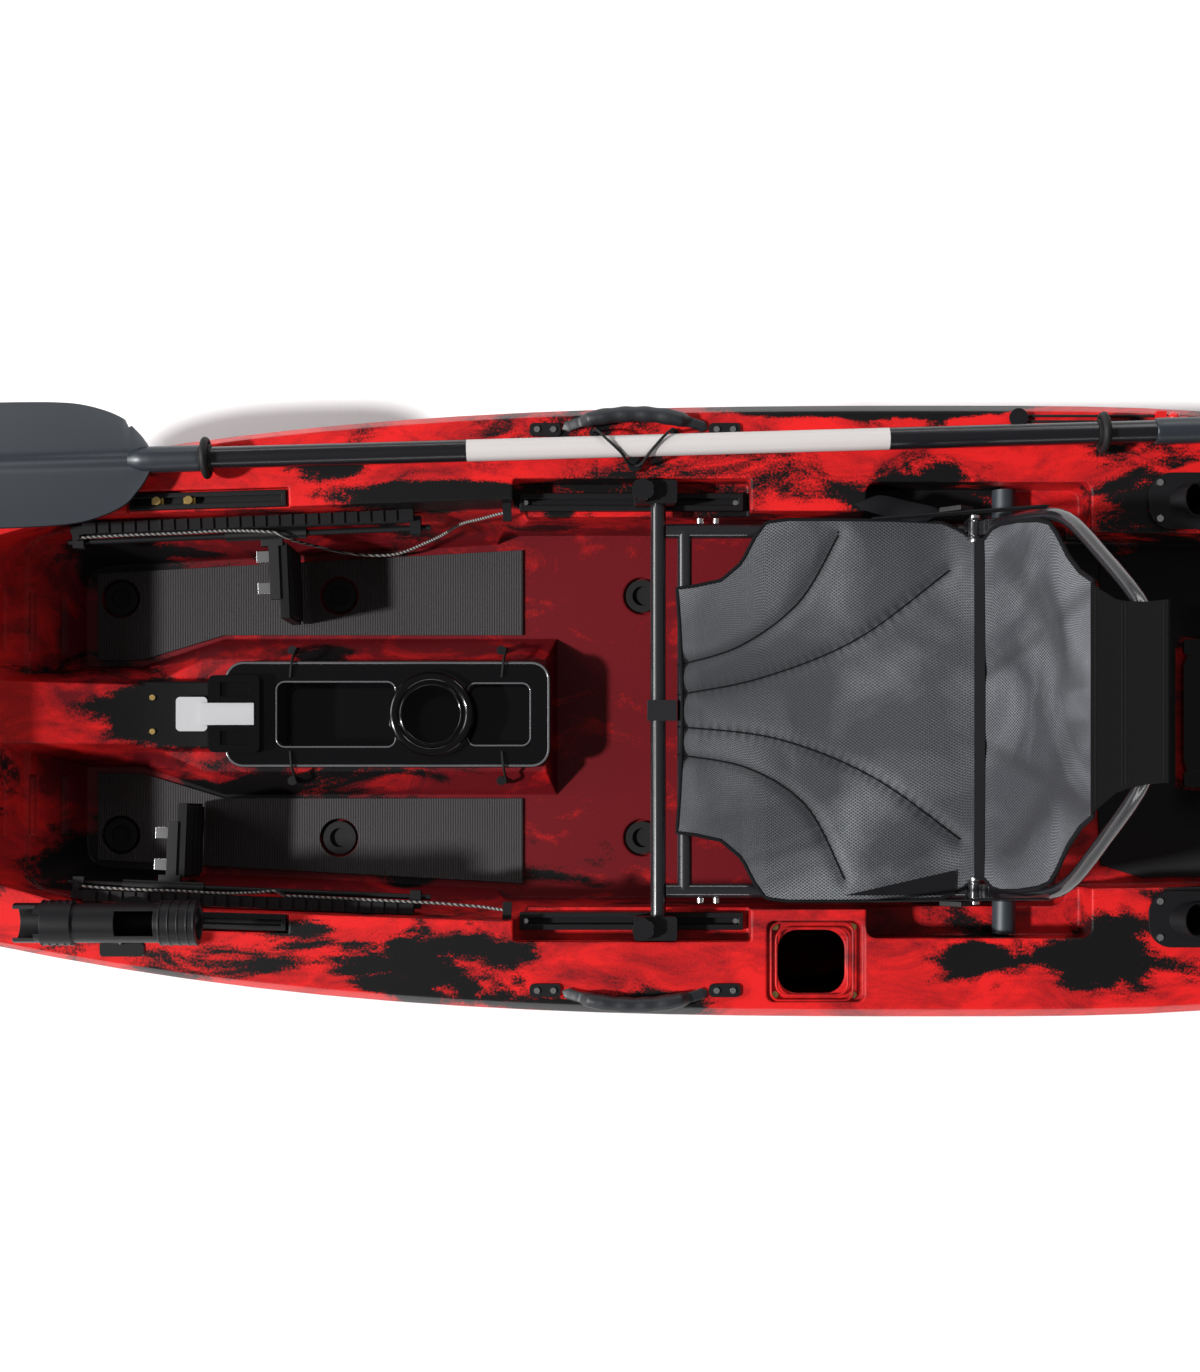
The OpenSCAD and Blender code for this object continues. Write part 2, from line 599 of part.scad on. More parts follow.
// the collar on the rod, its boss and the ribbed foot plate below it
module pedal(along) on_rail(along, -rod_side, rod_z) {
    difference() {
        union() {
            translate([-collar_len / 2, 0, 0]) rotate([0, 90, 0]) cylinder(d = collar_d, h = collar_len);
            translate([-8, -16, -11]) cube([30, 16, 12]);
            translate([14, -pedal_w - 12, -pedal_h + 4]) cube([13, pedal_w, pedal_h - 6]);
            translate([-10, -pedal_w + 24, -22]) cube([26, 12, 14]);
            translate([-10, -36, -22]) cube([26, 12, 14]);
            translate([2, -pedal_w + 14, -8]) cube([14, pedal_w - 26, 9]);
        }
        translate([-collar_len, 0, 0]) rotate([0, 90, 0]) cylinder(d = rod_d + 2 * gap, h = 2 * collar_len);
    }
    for (z = [-pedal_h + 10:9:-8]) translate([27, -pedal_w - 8, z]) cube([4, pedal_w - 8, 4]);
}
module starboard_pedal() color([0.1, 0.1, 0.11]) pedal(pedal_at[0]);
module port_pedal() color([0.1, 0.1, 0.11]) mirror([0, 1, 0]) pedal(pedal_at[1]);

module pedal_brackets(along) on_rail(along, -rod_side, rod_z) for (y = [-pedal_w + 22, -38]) difference() {
    translate([-16, y, -26]) cube([17.8, 16, 22]);
    translate([-13, y + 2, -27]) cube([20, 12, 21]);
}
module starboard_pedal_brackets() color("silver") pedal_brackets(pedal_at[0]);
module port_pedal_brackets() color("silver") mirror([0, 1, 0]) pedal_brackets(pedal_at[1]);

// ---- tray in the console ----

module pod_tray() color([0.03, 0.03, 0.035]) difference() {
    union() {
        block(pod_x0, pod_x1, -pod_w / 2, pod_w / 2, console_z + gap, pod_top, 28);
        block(slot_x0 + 3, slot_x1 - 3, -slot_half + 3, slot_half - 3, slot_z + 4, console_z + 1, 18);
        translate([cup_x, 0, pod_top - 1]) cylinder(d = cup_d + 44, h = 11);
    }
    block(-458, -286, -48, 48, console_z - 40, pod_top + 20, 12);
    block(-189, -96, -46, 46, console_z - 8, pod_top + 20, 12);
    translate([cup_x, 0, slot_z + 14]) cylinder(d = cup_d, h = 200);
    block(slot_x0 + 8, cup_x - cup_d / 2 - 14, -slot_half + 8, slot_half - 8, slot_z, console_z - 44, 12);
    block(cup_x + cup_d / 2 + 14, slot_x1 - 8, -slot_half + 8, slot_half - 8, slot_z, console_z - 12, 12);
}

module pod_latch() color([0.05, 0.05, 0.055]) difference() {
    translate([0, 0, pod_top]) block(-548, -477, -54, 54, 0.1, 19, 8);
    translate([-560, -17, pod_top + 3]) cube([78, 34, 30]);
    translate([-532, 24, pod_top + 12]) cube([40, 20, 10]);
    translate([-532, -44, pod_top + 12]) cube([40, 20, 10]);
    translate([-560, -60, pod_top - 10]) cube([31, 120, 14]);
}

module latch_tongue() color("gainsboro") {
    translate([0, 0, shoulder_z]) block(-596, -552, -24, 24, gap, 15, 6);
    translate([-562, -15.5, pod_top + 3 + gap]) cube([76, 31, 8]);
}

// ---- seat ----

module seat_crossbar() color([0.07, 0.07, 0.08]) {
    rod([bar_x, -clamp_y - 12, bar_z], [bar_x, clamp_y + 12, bar_z], bar_d / 2);
    translate([bar_x - 15, -14, bar_z - 7]) difference() {
        translate([0, 0, -6]) cube([front_tube_x - bar_x + 4, 28, 26]);
        translate([15, -1, 7]) rotate([-90, 0, 0]) cylinder(d = bar_d - 0.5, h = 30);
    }
}

module seat_clamps() color([0.08, 0.08, 0.09]) both_sides() difference() {
    translate([clamp_x, clamp_y, 0]) block(-28, 30, -16, 16, ledge_z + 13 + gap, deck_h + 2, 4);
    rod([bar_x, clamp_y - 40, bar_z], [bar_x, clamp_y + 13, bar_z], bar_d / 2 + 0.1);
    translate([clamp_x - 16, clamp_y, ledge_z]) cylinder(d = 8.8, h = 100);
}

module clamp_knob() translate([clamp_x - 16, clamp_y, deck_h + 2]) {
    translate([0, 0, gap]) cylinder(d = 26, h = 5);
    difference() {
        translate([0, 0, 5]) cylinder(d = 30, h = 12);
        for (a = [0:60:300]) rotate([0, 0, a]) translate([18.5, 0, 4]) cylinder(d = 10, h = 20);
    }
    translate([0, 0, -36]) cylinder(d = 8, h = 37);
}
module starboard_clamp_knob() color([0.05, 0.05, 0.05]) clamp_knob();
module port_clamp_knob() color([0.05, 0.05, 0.05]) mirror([0, 1, 0]) clamp_knob();

module seat_frame() color([0.07, 0.07, 0.08]) {
    rod([front_tube_x, -seat_w / 2, tube_z], [front_tube_x, seat_w / 2, tube_z], seat_tube_d / 2);
    both_sides() {
        rod([bar_x + bar_d / 2 + 0.1, seat_w / 2, tube_z], [rear_bar_x + 20, seat_w / 2, tube_z],
            seat_tube_d / 2);
        for (y = [-14, 10.5]) difference() {
            union() {
                translate([hinge_x, seat_w / 2 + y, hinge_z]) rotate([-90, 0, 0]) cylinder(r = 9, h = 3.5);
                translate([hinge_x - 9, seat_w / 2 + y, tube_z]) cube([18, 3.5, hinge_z - tube_z]);
            }
            translate([hinge_x, seat_w / 2 + y - 1, hinge_z]) rotate([-90, 0, 0]) cylinder(r = pin_r, h = 6);
        }
        translate([hinge_x - 9, seat_w / 2 - 14, tube_z - 12]) cube([18, 28, 14]);
        translate([rear_bar_x - 14, seat_w / 2 - 7, rear_bar_z + 12])
            cube([28, 14, tube_z - rear_bar_z - 14]);
    }
}

module seat_rear_bar() color([0.07, 0.07, 0.08])
    rod([rear_bar_x, -recess_half + 20, rear_bar_z], [rear_bar_x, recess_half - 20, rear_bar_z], 11.8);

module seat_end_caps() color([0.1, 0.1, 0.11]) both_sides() difference() {
    rod([rear_bar_x, recess_half - 48, rear_bar_z], [rear_bar_x, recess_half - 3, rear_bar_z], cap_r);
    rod([rear_bar_x, recess_half - 60, rear_bar_z], [rear_bar_x, recess_half - 19.5, rear_bar_z], 12);
}

PAN_ROWS = [[0, 165], [24, 168], [36, 170], [72, 186], [98, 212], [114, 252], [150, 258], [220, 258],
    [290, 257], [350, 254], [376, 240], [387, 228]];
PAN_COLUMNS = [-1, -0.9, -0.72, -0.48, -0.24, 0, 0.24, 0.48, 0.72, 0.9, 1];
function pan_row(r) = let (share = r[0] / 387, x = pan_x0 + share * (pan_x1 - pan_x0)) [for (v = PAN_COLUMNS)
    let (w = min(r[1], r[1] + (seat_w - 488) / 2), u = min(1, abs(v * w) / (seat_w / 2 - 12)))
    [x, v * w, pan_z - pan_sag * (1 - u * u) * sin(180 * ramp(x, front_tube_x + 12, pan_x1))]];
module seat_mesh() color([0.32, 0.33, 0.36]) slab([for (r = PAN_ROWS) pan_row(r)], [0, 0, 3.5]);

module seat_bolts() color("silver") both_sides() {
    rod([hinge_x, seat_w / 2 - 18, hinge_z], [hinge_x, seat_w / 2 + 18, hinge_z], pin_r - 0.05);
    for (y = [seat_w / 2 - 18, seat_w / 2 + 14.2]) rod([hinge_x, y, hinge_z], [hinge_x, y + 3.5, hinge_z], 7);
    for (x = [136, 158], y = [(seat_w + seat_tube_d) / 2]) rod([x, y, tube_z], [x, y + 7, tube_z], 5);
}

module in_back() translate([hinge_x, 0, hinge_z]) rotate([0, back_lean, 0]) children();
arch_x = 12.5;
// the cloth lies against the front of the arch
cloth_x = arch_x - (seat_tube_d - 2) / 2 - 0.1;
ARCH = [[0.03, 1], [0.2, 1], [0.38, 0.985], [0.48, 0.93], [0.56, 0.84], [0.66, 0.7], [0.78, 0.53],
    [0.86, 0.38], [0.9, 0.2], [0.91, 0]];
arch_half = [for (a = ARCH) [arch_x, a[1] * (seat_w / 2), a[0] * back_h]];
module back_frame() color([0.07, 0.07, 0.08]) in_back() {
    tube(curve(concat(arch_half, [for (i = [len(arch_half) - 2:-1:0])
        [arch_half[i][0], -arch_half[i][1], arch_half[i][2]]]), 2), seat_tube_d - 2, 10, [1, 0, 0]);
    both_sides() difference() {
        union() {
            translate([0, seat_w / 2 - 9.5, 0]) rotate([-90, 0, 0]) cylinder(r = 9, h = 19);
            translate([0, seat_w / 2 - 9.5, 0]) cube([arch_x, 19, 8]);
            translate([arch_x - 9.5, seat_w / 2 - 9.5, 6]) cube([19, 19, 26]);
        }
        translate([0, seat_w / 2 - 12, 0]) rotate([-90, 0, 0]) cylinder(r = pin_r + gap, h = 30);
    }
}

MESH_ROWS = [[0.06, 226], [0.13, 240], [0.22, 240], [0.32, 235], [0.42, 230], [0.46, 214], [0.52, 178],
    [0.58, 156], [0.643, 142]];
module back_mesh() color([0.3, 0.31, 0.34]) in_back() slab([for (r = MESH_ROWS)
    [for (j = [-5:5]) [cloth_x, j / 5 * r[1], r[0] * back_h]]], [-2.6, 0, 0]);

PANEL_ROWS = [[0.645, 140], [0.72, 124], [0.8, 110], [0.9, 104], [1, 103]];
module back_panel() color([0.12, 0.11, 0.12]) in_back() slab([for (r = PANEL_ROWS)
    [for (j = [-3:3]) [cloth_x, j / 3 * r[1], r[0] * back_h]]], [-5, 0, 0]);

strap_low = [372, seat_w / 2 + 14, pan_z + 6];
strap_high = [hinge_x + 0.42 * back_h * sin(back_lean) - 6, seat_w / 2 + 2,
    hinge_z + 0.42 * back_h * cos(back_lean)];
module seat_straps() color([0.1, 0.1, 0.1]) both_sides() hull() {
    translate(strap_low) cube([12, 2, 20], center = true);
    translate(strap_high) cube([12, 2, 20], center = true);
}
module seat_buckles() color([0.04, 0.04, 0.05]) both_sides()
    translate(0.5 * (strap_low + strap_high) + [0, 4.5, 0]) rotate([0, -45, 0])
        cube([34, 6, 28], center = true);

// ---- rod holder on the port track ----

module holder_base() color([0.08, 0.08, 0.09]) translate([holder_x, holder_y, deck_h]) {
    cylinder(d = 60, h = 10);
    cylinder(d = 34, h = turn_z - deck_h - gap);
}

module holder_yoke() color([0.08, 0.08, 0.09]) translate([holder_x, holder_y, 0]) difference() {
    union() {
        translate([0, 0, turn_z]) cylinder(d = 42, h = 8);
        for (y = [-14, lug_half + 0.5]) {
            translate([-7.5, y, turn_z + 6]) cube([15, 5.5, pin_z - turn_z - 6]);
            translate([0, y, pin_z]) rotate([-90, 0, 0]) cylinder(r = 7.5, h = 5.5);
        }
    }
    translate([0, -20, pin_z]) rotate([-90, 0, 0]) cylinder(r = 3.9, h = 40);
}

module holder_tube() color([0.07, 0.07, 0.08]) translate([holder_x, holder_y, 0]) difference() {
    union() {
        rod([-132, 0, holder_z], [107, 0, holder_z], holder_r);
        rod([-96, 0, holder_z], [-54, 0, holder_z], holder_r + 3);
        rod([58, 0, holder_z], [107, 0, holder_z], holder_r + 3);
        translate([-9, -lug_half, pin_z]) cube([18, 2 * lug_half, 10]);
        translate([0, -lug_half, pin_z]) rotate([-90, 0, 0]) cylinder(r = 9, h = 2 * lug_half);
    }
    rod([-200, 0, holder_z], [200, 0, holder_z], holder_bore / 2);
    translate([-133, -13, holder_z]) cube([40, 26, 60]);
    translate([-133, -60, holder_z + 12]) cube([30, 120, 60]);
    translate([2, -16, holder_z]) cube([50, 32, 60]);
    translate([0, -20, pin_z]) rotate([-90, 0, 0]) cylinder(r = 3.9, h = 40);
}

module holder_knob() color([0.06, 0.06, 0.07]) translate([holder_x, holder_y, pin_z]) {
    rod([0, -28, 0], [0, 18, 0], 3.5);
    rod([0, -20, 0], [0, -14.3, 0], 8);
    rod([0, 14.3, 0], [0, 19, 0], 7);
    translate([-29, -46, -6]) block(0, 58, 0, 18, 0, 12, 5);
    rod([0, -30, 0], [0, -20, 0], 7);
}

// ---- paddle ----

module along_paddle() translate([paddle_mid[0], paddle_mid[1], paddle_z])
    rotate([0, 0, paddle_turn]) children();
module both_ends() {
    children();
    mirror([1, 0, 0]) children();
}

module paddle_shaft() color([0.06, 0.06, 0.07]) along_paddle() both_ends()
    rod([centre_half, 0, 0], [throat - 8, 0, 0], shaft_d / 2);
module paddle_centre() color("whitesmoke") along_paddle()
    rod([-centre_half, 0, 0], [centre_half, 0, 0], shaft_d / 2);

BLADE = [[0, 0.13], [12, 0.3], [30, 0.62], [60, 0.86], [100, 0.97], [160, 1], [240, 1], [320, 0.94],
    [380, 0.8], [420, 0.62], [446, 0.4], [460, 0.14]];
module blade() slab([for (b = BLADE) [for (j = [-4:4]) let (v = j / 4, w = b[1] * blade_w / 2)
    [throat + b[0], v * w, -1 + 4 * pow(b[0] / 460, 2) + 5 * pow(v, 2) * b[1]]]], [0, 0, 6]);
module paddle_blades() color([0.07, 0.08, 0.1]) along_paddle() both_ends() {
    difference() {
        rod([throat - sleeve_len, 0, 0], [throat + 14, 0, 0], shaft_d / 2 + 3);
        rod([throat - sleeve_len - 1, 0, 0], [throat - 7, 0, 0], shaft_d / 2 + 0.1);
    }
    blade();
    rod([throat + 5, 0, 2], [throat + 250, 0, 2], 7);
}

module drip_rings() color([0.06, 0.06, 0.07]) along_paddle() for (x = [-630, 568]) difference() {
    translate([x, 0, 0]) rotate([0, 90, 0]) rotate_extrude() {
        translate([ring_r - 5, 0]) circle(r = 5);
        translate([shaft_d / 2 + 0.1, -3]) square([ring_r - shaft_d / 2 - 3, 6]);
        translate([shaft_d / 2 + 0.1, -8]) square([3, 16]);
    }
}

// ---- lids ----

module bow_hatch_lid() color([0.05, 0.05, 0.055]) translate([hatch_x, 0, sheer_z(hatch_x) - 4]) {
    block(-hatch_len / 2 + 1.5, hatch_len / 2 - 1.5, -hatch_w / 2 + 1.5, hatch_w / 2 - 1.5, gap, 14, 64);
    translate([-34, -9, 13]) cube([68, 18, 8]);
}

module rear_hatch_lid() color([0.04, 0.04, 0.045]) translate([0, 0, tank_h]) {
    difference() {
        block(rear_lid[0], rear_lid[1], -rear_lid[2], rear_lid[2], gap, 16, 40);
        block(rear_lid[0] + 8, rear_lid[1] - 8, -rear_lid[2] + 8, rear_lid[2] - 8, -1, 12, 32);
    }
    for (side = [1, -1]) translate([rear_lid[0] + 12, side * (rear_lid[2] - 8), 16])
        block(-14, 20, -11, 11, -0.5, 7, 5);
}

// ---- rudder ----

module rudder_bracket() color([0.08, 0.08, 0.09]) {
    difference() {
        translate([hull_len / 2 + 0.2, -14, rudder_top - 112]) cube([34, 28, 40]);
        translate([rudder_x, 0, rudder_top - 120]) cylinder(d = 12.6, h = 60);
    }
    translate([hull_len / 2 + 0.2, -14, rudder_top - 140]) cube([6, 28, 60]);
}

module rudder_head() color([0.08, 0.08, 0.09]) {
    translate([rudder_x, 0, rudder_top - 108]) cylinder(d = 12, h = 40);
    translate([rudder_x, 0, rudder_top - 71.5]) {
        cylinder(d = 34, h = 12);
        translate([-10, -75, 0]) cube([20, 150, 8]);
        for (y = [-14, 6.5]) difference() {
            union() {
                translate([-11, y, 8]) cube([22, 7.5, 63.5]);
                translate([0, y, 71.5]) rotate([-90, 0, 0]) cylinder(r = 11, h = 7.5);
            }
            translate([0, y - 1, 71.5]) rotate([-90, 0, 0]) cylinder(r = 4.4, h = 12);
        }
    }
}

module rudder_blade() color([0.1, 0.1, 0.11]) translate([rudder_x, 0, rudder_top]) {
    difference() {
        union() {
            rod([0, -6, 0], [0, 6, 0], 12);
            translate([-rudder_len, 0, 0]) rotate([90, 0, 0]) translate([0, 0, -3]) linear_extrude(6)
                polygon([[0, 8], [14, -28], [60, -40], [rudder_len - 160, -40], [rudder_len - 130, -12],
                    [rudder_len, -10], [rudder_len, 10], [rudder_len - 130, 12], [rudder_len - 160, 34],
                    [50, 34], [10, 26]]);
        }
        rod([0, -20, 0], [0, 20, 0], 4.4);
    }
}

hull_moulding();
drain_plug();
gear_tracks();
track_nuts();
seat_rails();
foot_rails();
foot_mats();
tank_mat();
rod_tubes();
brass_screws();
steel_screws();
handle_plates();
starboard_handle();
port_handle();
scupper_plugs();
pod_tray();
pod_latch();
latch_tongue();
pod_hooks();
bungee_loops();
keeper_bungee();
deck_buttons();
lift_line();
lift_toggle();
cord_eyes();
starboard_steering_cord();
port_steering_cord();
starboard_steering_rod();
port_steering_rod();
starboard_pedal();
port_pedal();
starboard_pedal_brackets();
port_pedal_brackets();
seat_crossbar();
seat_clamps();
starboard_clamp_knob();
port_clamp_knob();
seat_frame();
seat_rear_bar();
seat_end_caps();
seat_mesh();
seat_bolts();
back_frame();
back_mesh();
back_panel();
seat_straps();
seat_buckles();
holder_base();
holder_yoke();
holder_tube();
holder_knob();
paddle_shaft();
paddle_centre();
paddle_blades();
drip_rings();
bow_hatch_lid();
rear_hatch_lid();
rudder_bracket();
rudder_head();
rudder_blade();
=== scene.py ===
import json
import math
import bpy
import numpy as np
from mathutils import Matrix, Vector


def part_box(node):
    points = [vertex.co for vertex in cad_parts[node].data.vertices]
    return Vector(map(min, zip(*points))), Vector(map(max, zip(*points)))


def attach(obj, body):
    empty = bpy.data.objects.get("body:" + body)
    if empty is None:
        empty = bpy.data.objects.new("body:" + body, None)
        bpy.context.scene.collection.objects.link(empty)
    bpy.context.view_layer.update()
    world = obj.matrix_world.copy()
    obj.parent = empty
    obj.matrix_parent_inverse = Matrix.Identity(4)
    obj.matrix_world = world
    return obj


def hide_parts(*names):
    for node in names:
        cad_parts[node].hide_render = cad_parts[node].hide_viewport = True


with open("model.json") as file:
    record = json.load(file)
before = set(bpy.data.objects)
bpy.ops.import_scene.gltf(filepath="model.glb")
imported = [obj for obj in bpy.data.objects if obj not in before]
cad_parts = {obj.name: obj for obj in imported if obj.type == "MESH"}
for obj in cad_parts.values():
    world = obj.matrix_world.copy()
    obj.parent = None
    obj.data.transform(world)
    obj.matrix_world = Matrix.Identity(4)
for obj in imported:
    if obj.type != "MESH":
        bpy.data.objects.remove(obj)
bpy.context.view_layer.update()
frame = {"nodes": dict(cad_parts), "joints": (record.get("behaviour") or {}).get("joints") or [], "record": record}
nodes = frame["nodes"]

# Camera: hung 2.9 m above the ground, over the port footwell, and looking straight down.
# The lens is the long side's 36 mm sensor seen through 50.5 mm, raised a little to frame the deck.
bpy.ops.object.select_all(action="DESELECT")
bpy.ops.object.camera_add(location=(0, -0.132, 2.9), rotation=(0, 0, 0))
camera = bpy.context.object
camera.data.sensor_fit = "AUTO"
camera.data.sensor_width = 36
camera.data.lens = 50.55
camera.data.shift_y = 0.0889
bpy.context.scene.camera = camera
bpy.context.scene.render.resolution_x = 896
bpy.context.scene.render.resolution_y = 1024

# Steering cords: 4 mm braid of black and white yarn from an eye on each foot rail's front guide,
# past the pedal, to a small metal eye on the side wall. The starboard one hangs slack to the mat.
def smooth(p, steps):
    p = [np.array(q, float) for q in p]
    out = []
    for i in range(len(p) - 1):
        a, b, c, d = p[max(i - 1, 0)], p[i], p[i + 1], p[min(i + 2, len(p) - 1)]
        for k in range(steps):
            t = k / steps
            out.append(0.5 * (2 * b + (c - a) * t + (2 * a - 5 * b + 4 * c - d) * t * t
                              + (3 * b - a - 3 * c + d) * t ** 3))
    return out + [p[-1]]


fine_grain = bpy.data.node_groups.new("fine_grain", "ShaderNodeTree")
for label, kind, way in (("Vector", "NodeSocketVector", "INPUT"), ("Scale", "NodeSocketFloat", "INPUT"),
                         ("Strength", "NodeSocketFloat", "INPUT"), ("Normal", "NodeSocketVector", "OUTPUT")):
    fine_grain.interface.new_socket(name=label, in_out=way, socket_type=kind)
given = fine_grain.nodes.new("NodeGroupInput")
result = fine_grain.nodes.new("NodeGroupOutput")
noise = fine_grain.nodes.new("ShaderNodeTexNoise")
noise.inputs["Detail"].default_value = 3
bump = fine_grain.nodes.new("ShaderNodeBump")
bump.inputs["Distance"].default_value = 0.001
for a, b in ((given.outputs["Vector"], noise.inputs["Vector"]), (given.outputs["Scale"], noise.inputs["Scale"]),
             (given.outputs["Strength"], bump.inputs["Strength"]), (noise.outputs["Fac"], bump.inputs["Height"]),
             (bump.outputs["Normal"], result.inputs["Normal"])):
    fine_grain.links.new(a, b)


def new_material(name, colour, rough, metallic=0.0, coat=0.0, grain=0.0, grain_scale=900, shine=0.5):
    m = bpy.data.materials.new(name)
    m.use_nodes = True
    tree = m.node_tree
    shader = tree.nodes["Principled BSDF"]
    shader.inputs["Base Color"].default_value = (*colour, 1)
    shader.inputs["Roughness"].default_value = rough
    shader.inputs["Metallic"].default_value = metallic
    shader.inputs["Coat Weight"].default_value = coat
    shader.inputs["Coat Roughness"].default_value = 0.08
    shader.inputs["Specular IOR Level"].default_value = shine
    where = tree.nodes.new("ShaderNodeTexCoord")
    if grain:
        surface = tree.nodes.new("ShaderNodeGroup")
        surface.node_tree = fine_grain
        surface.inputs["Scale"].default_value = grain_scale
        surface.inputs["Strength"].default_value = grain
        tree.links.new(where.outputs["Object"], surface.inputs["Vector"])
        tree.links.new(surface.outputs["Normal"], shader.inputs["Normal"])
    return m, tree, shader, where


def node(tree, kind, **sockets):
    n = tree.nodes.new(kind)
    for key, value in sockets.items():
        n.inputs[key.replace("_", " ")].default_value = value
    return n


def ramp_between(tree, value, low, high, a=0.0, b=1.0):
    n = tree.nodes.new("ShaderNodeMapRange")
    for key, v in (("From Min", low), ("From Max", high), ("To Min", a), ("To Max", b)):
        n.inputs[key].default_value = v
    tree.links.new(value, n.inputs["Value"])
    return n.outputs["Result"]


def mix_colour(tree, factor, a, b):
    n = tree.nodes.new("ShaderNodeMix")
    n.data_type = "RGBA"
    tree.links.new(factor, n.inputs["Factor"])
    for value, socket in ((a, n.inputs["A"]), (b, n.inputs["B"])):
        if isinstance(value, tuple):
            socket.default_value = (*value, 1)
        else:
            tree.links.new(value, socket)
    return n.outputs["Result"]


braid, tree, shader, where = new_material("braid", (0.1, 0.1, 0.1), 0.7)
wave = node(tree, "ShaderNodeTexWave", Scale=84, Distortion=0)
wave.bands_direction = "DIAGONAL"
tree.links.new(where.outputs["Object"], wave.inputs["Vector"])
tree.links.new(mix_colour(tree, ramp_between(tree, wave.outputs["Fac"], 0.45, 0.6),
                          (0.01, 0.01, 0.01), (0.22, 0.21, 0.2)), shader.inputs["Base Color"])
cord_thick = 0.004
rod_y, rod_slant, rod_start, rod_z = 239.5, 0.048, -712, 249
route = [(-720, 0, 0), (-700, 0.8, -1), (-640, 1.4, -3), (-580, 0.8, -4), (-520, 1, -3),
         (-480, -2, 4), (-462, -4, 6), (-446, -6, 5), (-433, -12, 1), (-420, -16, -20), (-395, -19, -66),
         (-360, -25, -98), (-325, -28, -112), (-290, -27, -114), (-255, -17, -104), (-225, -9, -80),
         (-195, 1, -46), (-165, 2, -14), (-140, 4, 8), (-122, 5, 16)]
for side, sag, name in ((1, 1, "starboard_steering_cord"), (-1, 0, "port_steering_cord")):
    line = smooth([(x / 1000, side * (rod_y + rod_slant * (x - rod_start) + y * (sag if y < -6 else 1)) / 1000,
                    (rod_z + z * (sag if z < -4 else 1)) / 1000) for x, y, z in route], 3)
    bpy.ops.object.select_all(action="DESELECT")
    bpy.ops.object.add(type="CURVE")
    cord = bpy.context.object
    cord.name = name + "_braid"
    cord.data.dimensions = "3D"
    spline = cord.data.splines.new("POLY")
    spline.points.add(len(line) - 1)
    for point, place in zip(spline.points, line):
        point.co = (*place, 1)
    cord.data.bevel_depth = cord_thick / 2
    cord.data.bevel_resolution = 2
    cord.data.materials.append(braid)
    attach(cord, "hull")
    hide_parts(name)

# Floor and light: a plain pale floor under the keel, one hard-edged lamp over the bow that throws
# shadows aft, and soft boxes at both sides and the bow that draw highlights along the plastic.
bpy.ops.object.select_all(action="DESELECT")
bpy.ops.mesh.primitive_plane_add(size=60, location=(0, 0, -0.0006))
floor = bpy.context.object
floor.name = "floor"
floor_paint, *_ = new_material("floor_paint", (0.86, 0.86, 0.86), 0.6)
floor.data.materials.append(floor_paint)
bpy.ops.object.light_add(type="SUN", rotation=(math.radians(8), math.radians(-48), 0))
sun = bpy.context.object.data
sun.energy = 4.8
sun.angle = math.radians(4)
for place, turn, size, power in (((-2.6, 0.6, 1.7), (0, -60, 0), 0.9, 20), ((1.6, 2.4, 1.9), (50, 0, 150), 0.8, 10),
                                 ((1.2, -2.4, 1.6), (-55, 0, 20), 0.8, 8)):
    bpy.ops.object.light_add(type="AREA", location=place, rotation=[math.radians(a) for a in turn])
    box = bpy.context.object
    box.data.shape = "SQUARE"
    box.data.size = size
    box.data.energy = power
    box.visible_camera = False
strips = (((0.2, 2.3, 1.1), (66, 0, 180)), ((0.2, -2.3, 1.1), (66, 0, 0)), ((-2.7, 0, 1.1), (66, 0, -90)))
for place, turn in strips:
    bpy.ops.object.light_add(type="AREA", location=place, rotation=[math.radians(a) for a in turn])
    box = bpy.context.object
    box.data.shape = "RECTANGLE"
    box.data.size = 3.2
    box.data.size_y = 0.25
    box.data.energy = 16
    box.visible_camera = False
world = bpy.data.worlds.new("studio")
world.use_nodes = True
world.node_tree.nodes["Background"].inputs["Color"].default_value = (1, 1, 1, 1)
world.node_tree.nodes["Background"].inputs["Strength"].default_value = 0.15
bpy.context.scene.world = world
bpy.context.scene.view_settings.view_transform = "Standard"

# Hull: one rotomoulded shell of polyethylene. Red and black powder are dusted into the mould, so
# the colours lie in large streaked patches with speckled borders under one fine-textured skin.
# Low down, towards the floor of the well, the red is darkened further: that part is painted shade.
marble, tree, shader, where = new_material("marble", (0.6, 0.02, 0.02), 0.38)
shader.inputs["Specular IOR Level"].default_value = 0.22
stretch = node(tree, "ShaderNodeMapping", Scale=(2.1, 4.6, 3.2), Location=(0.35, 1.7, 0.2))
patch = node(tree, "ShaderNodeTexNoise", Scale=1.35, Detail=5, Roughness=0.58, Distortion=1.1)
streak_at = node(tree, "ShaderNodeMapping", Scale=(7, 15, 9))
streak = node(tree, "ShaderNodeTexNoise", Scale=1.3, Detail=6, Roughness=0.64, Distortion=0.7)
speck = node(tree, "ShaderNodeTexNoise", Scale=330, Detail=2, Roughness=0.7)
for a, b in ((where.outputs["Object"], stretch.inputs["Vector"]),
             (stretch.outputs["Vector"], patch.inputs["Vector"]),
             (where.outputs["Object"], streak_at.inputs["Vector"]),
             (streak_at.outputs["Vector"], streak.inputs["Vector"]),
             (where.outputs["Object"], speck.inputs["Vector"])):
    tree.links.new(a, b)


def maths(tree, kind, a, b):
    n = tree.nodes.new("ShaderNodeMath")
    n.operation = kind
    for value, socket in ((a, n.inputs[0]), (b, n.inputs[1])):
        if isinstance(value, (int, float)):
            socket.default_value = value
        else:
            tree.links.new(value, socket)
    return n.outputs[0]


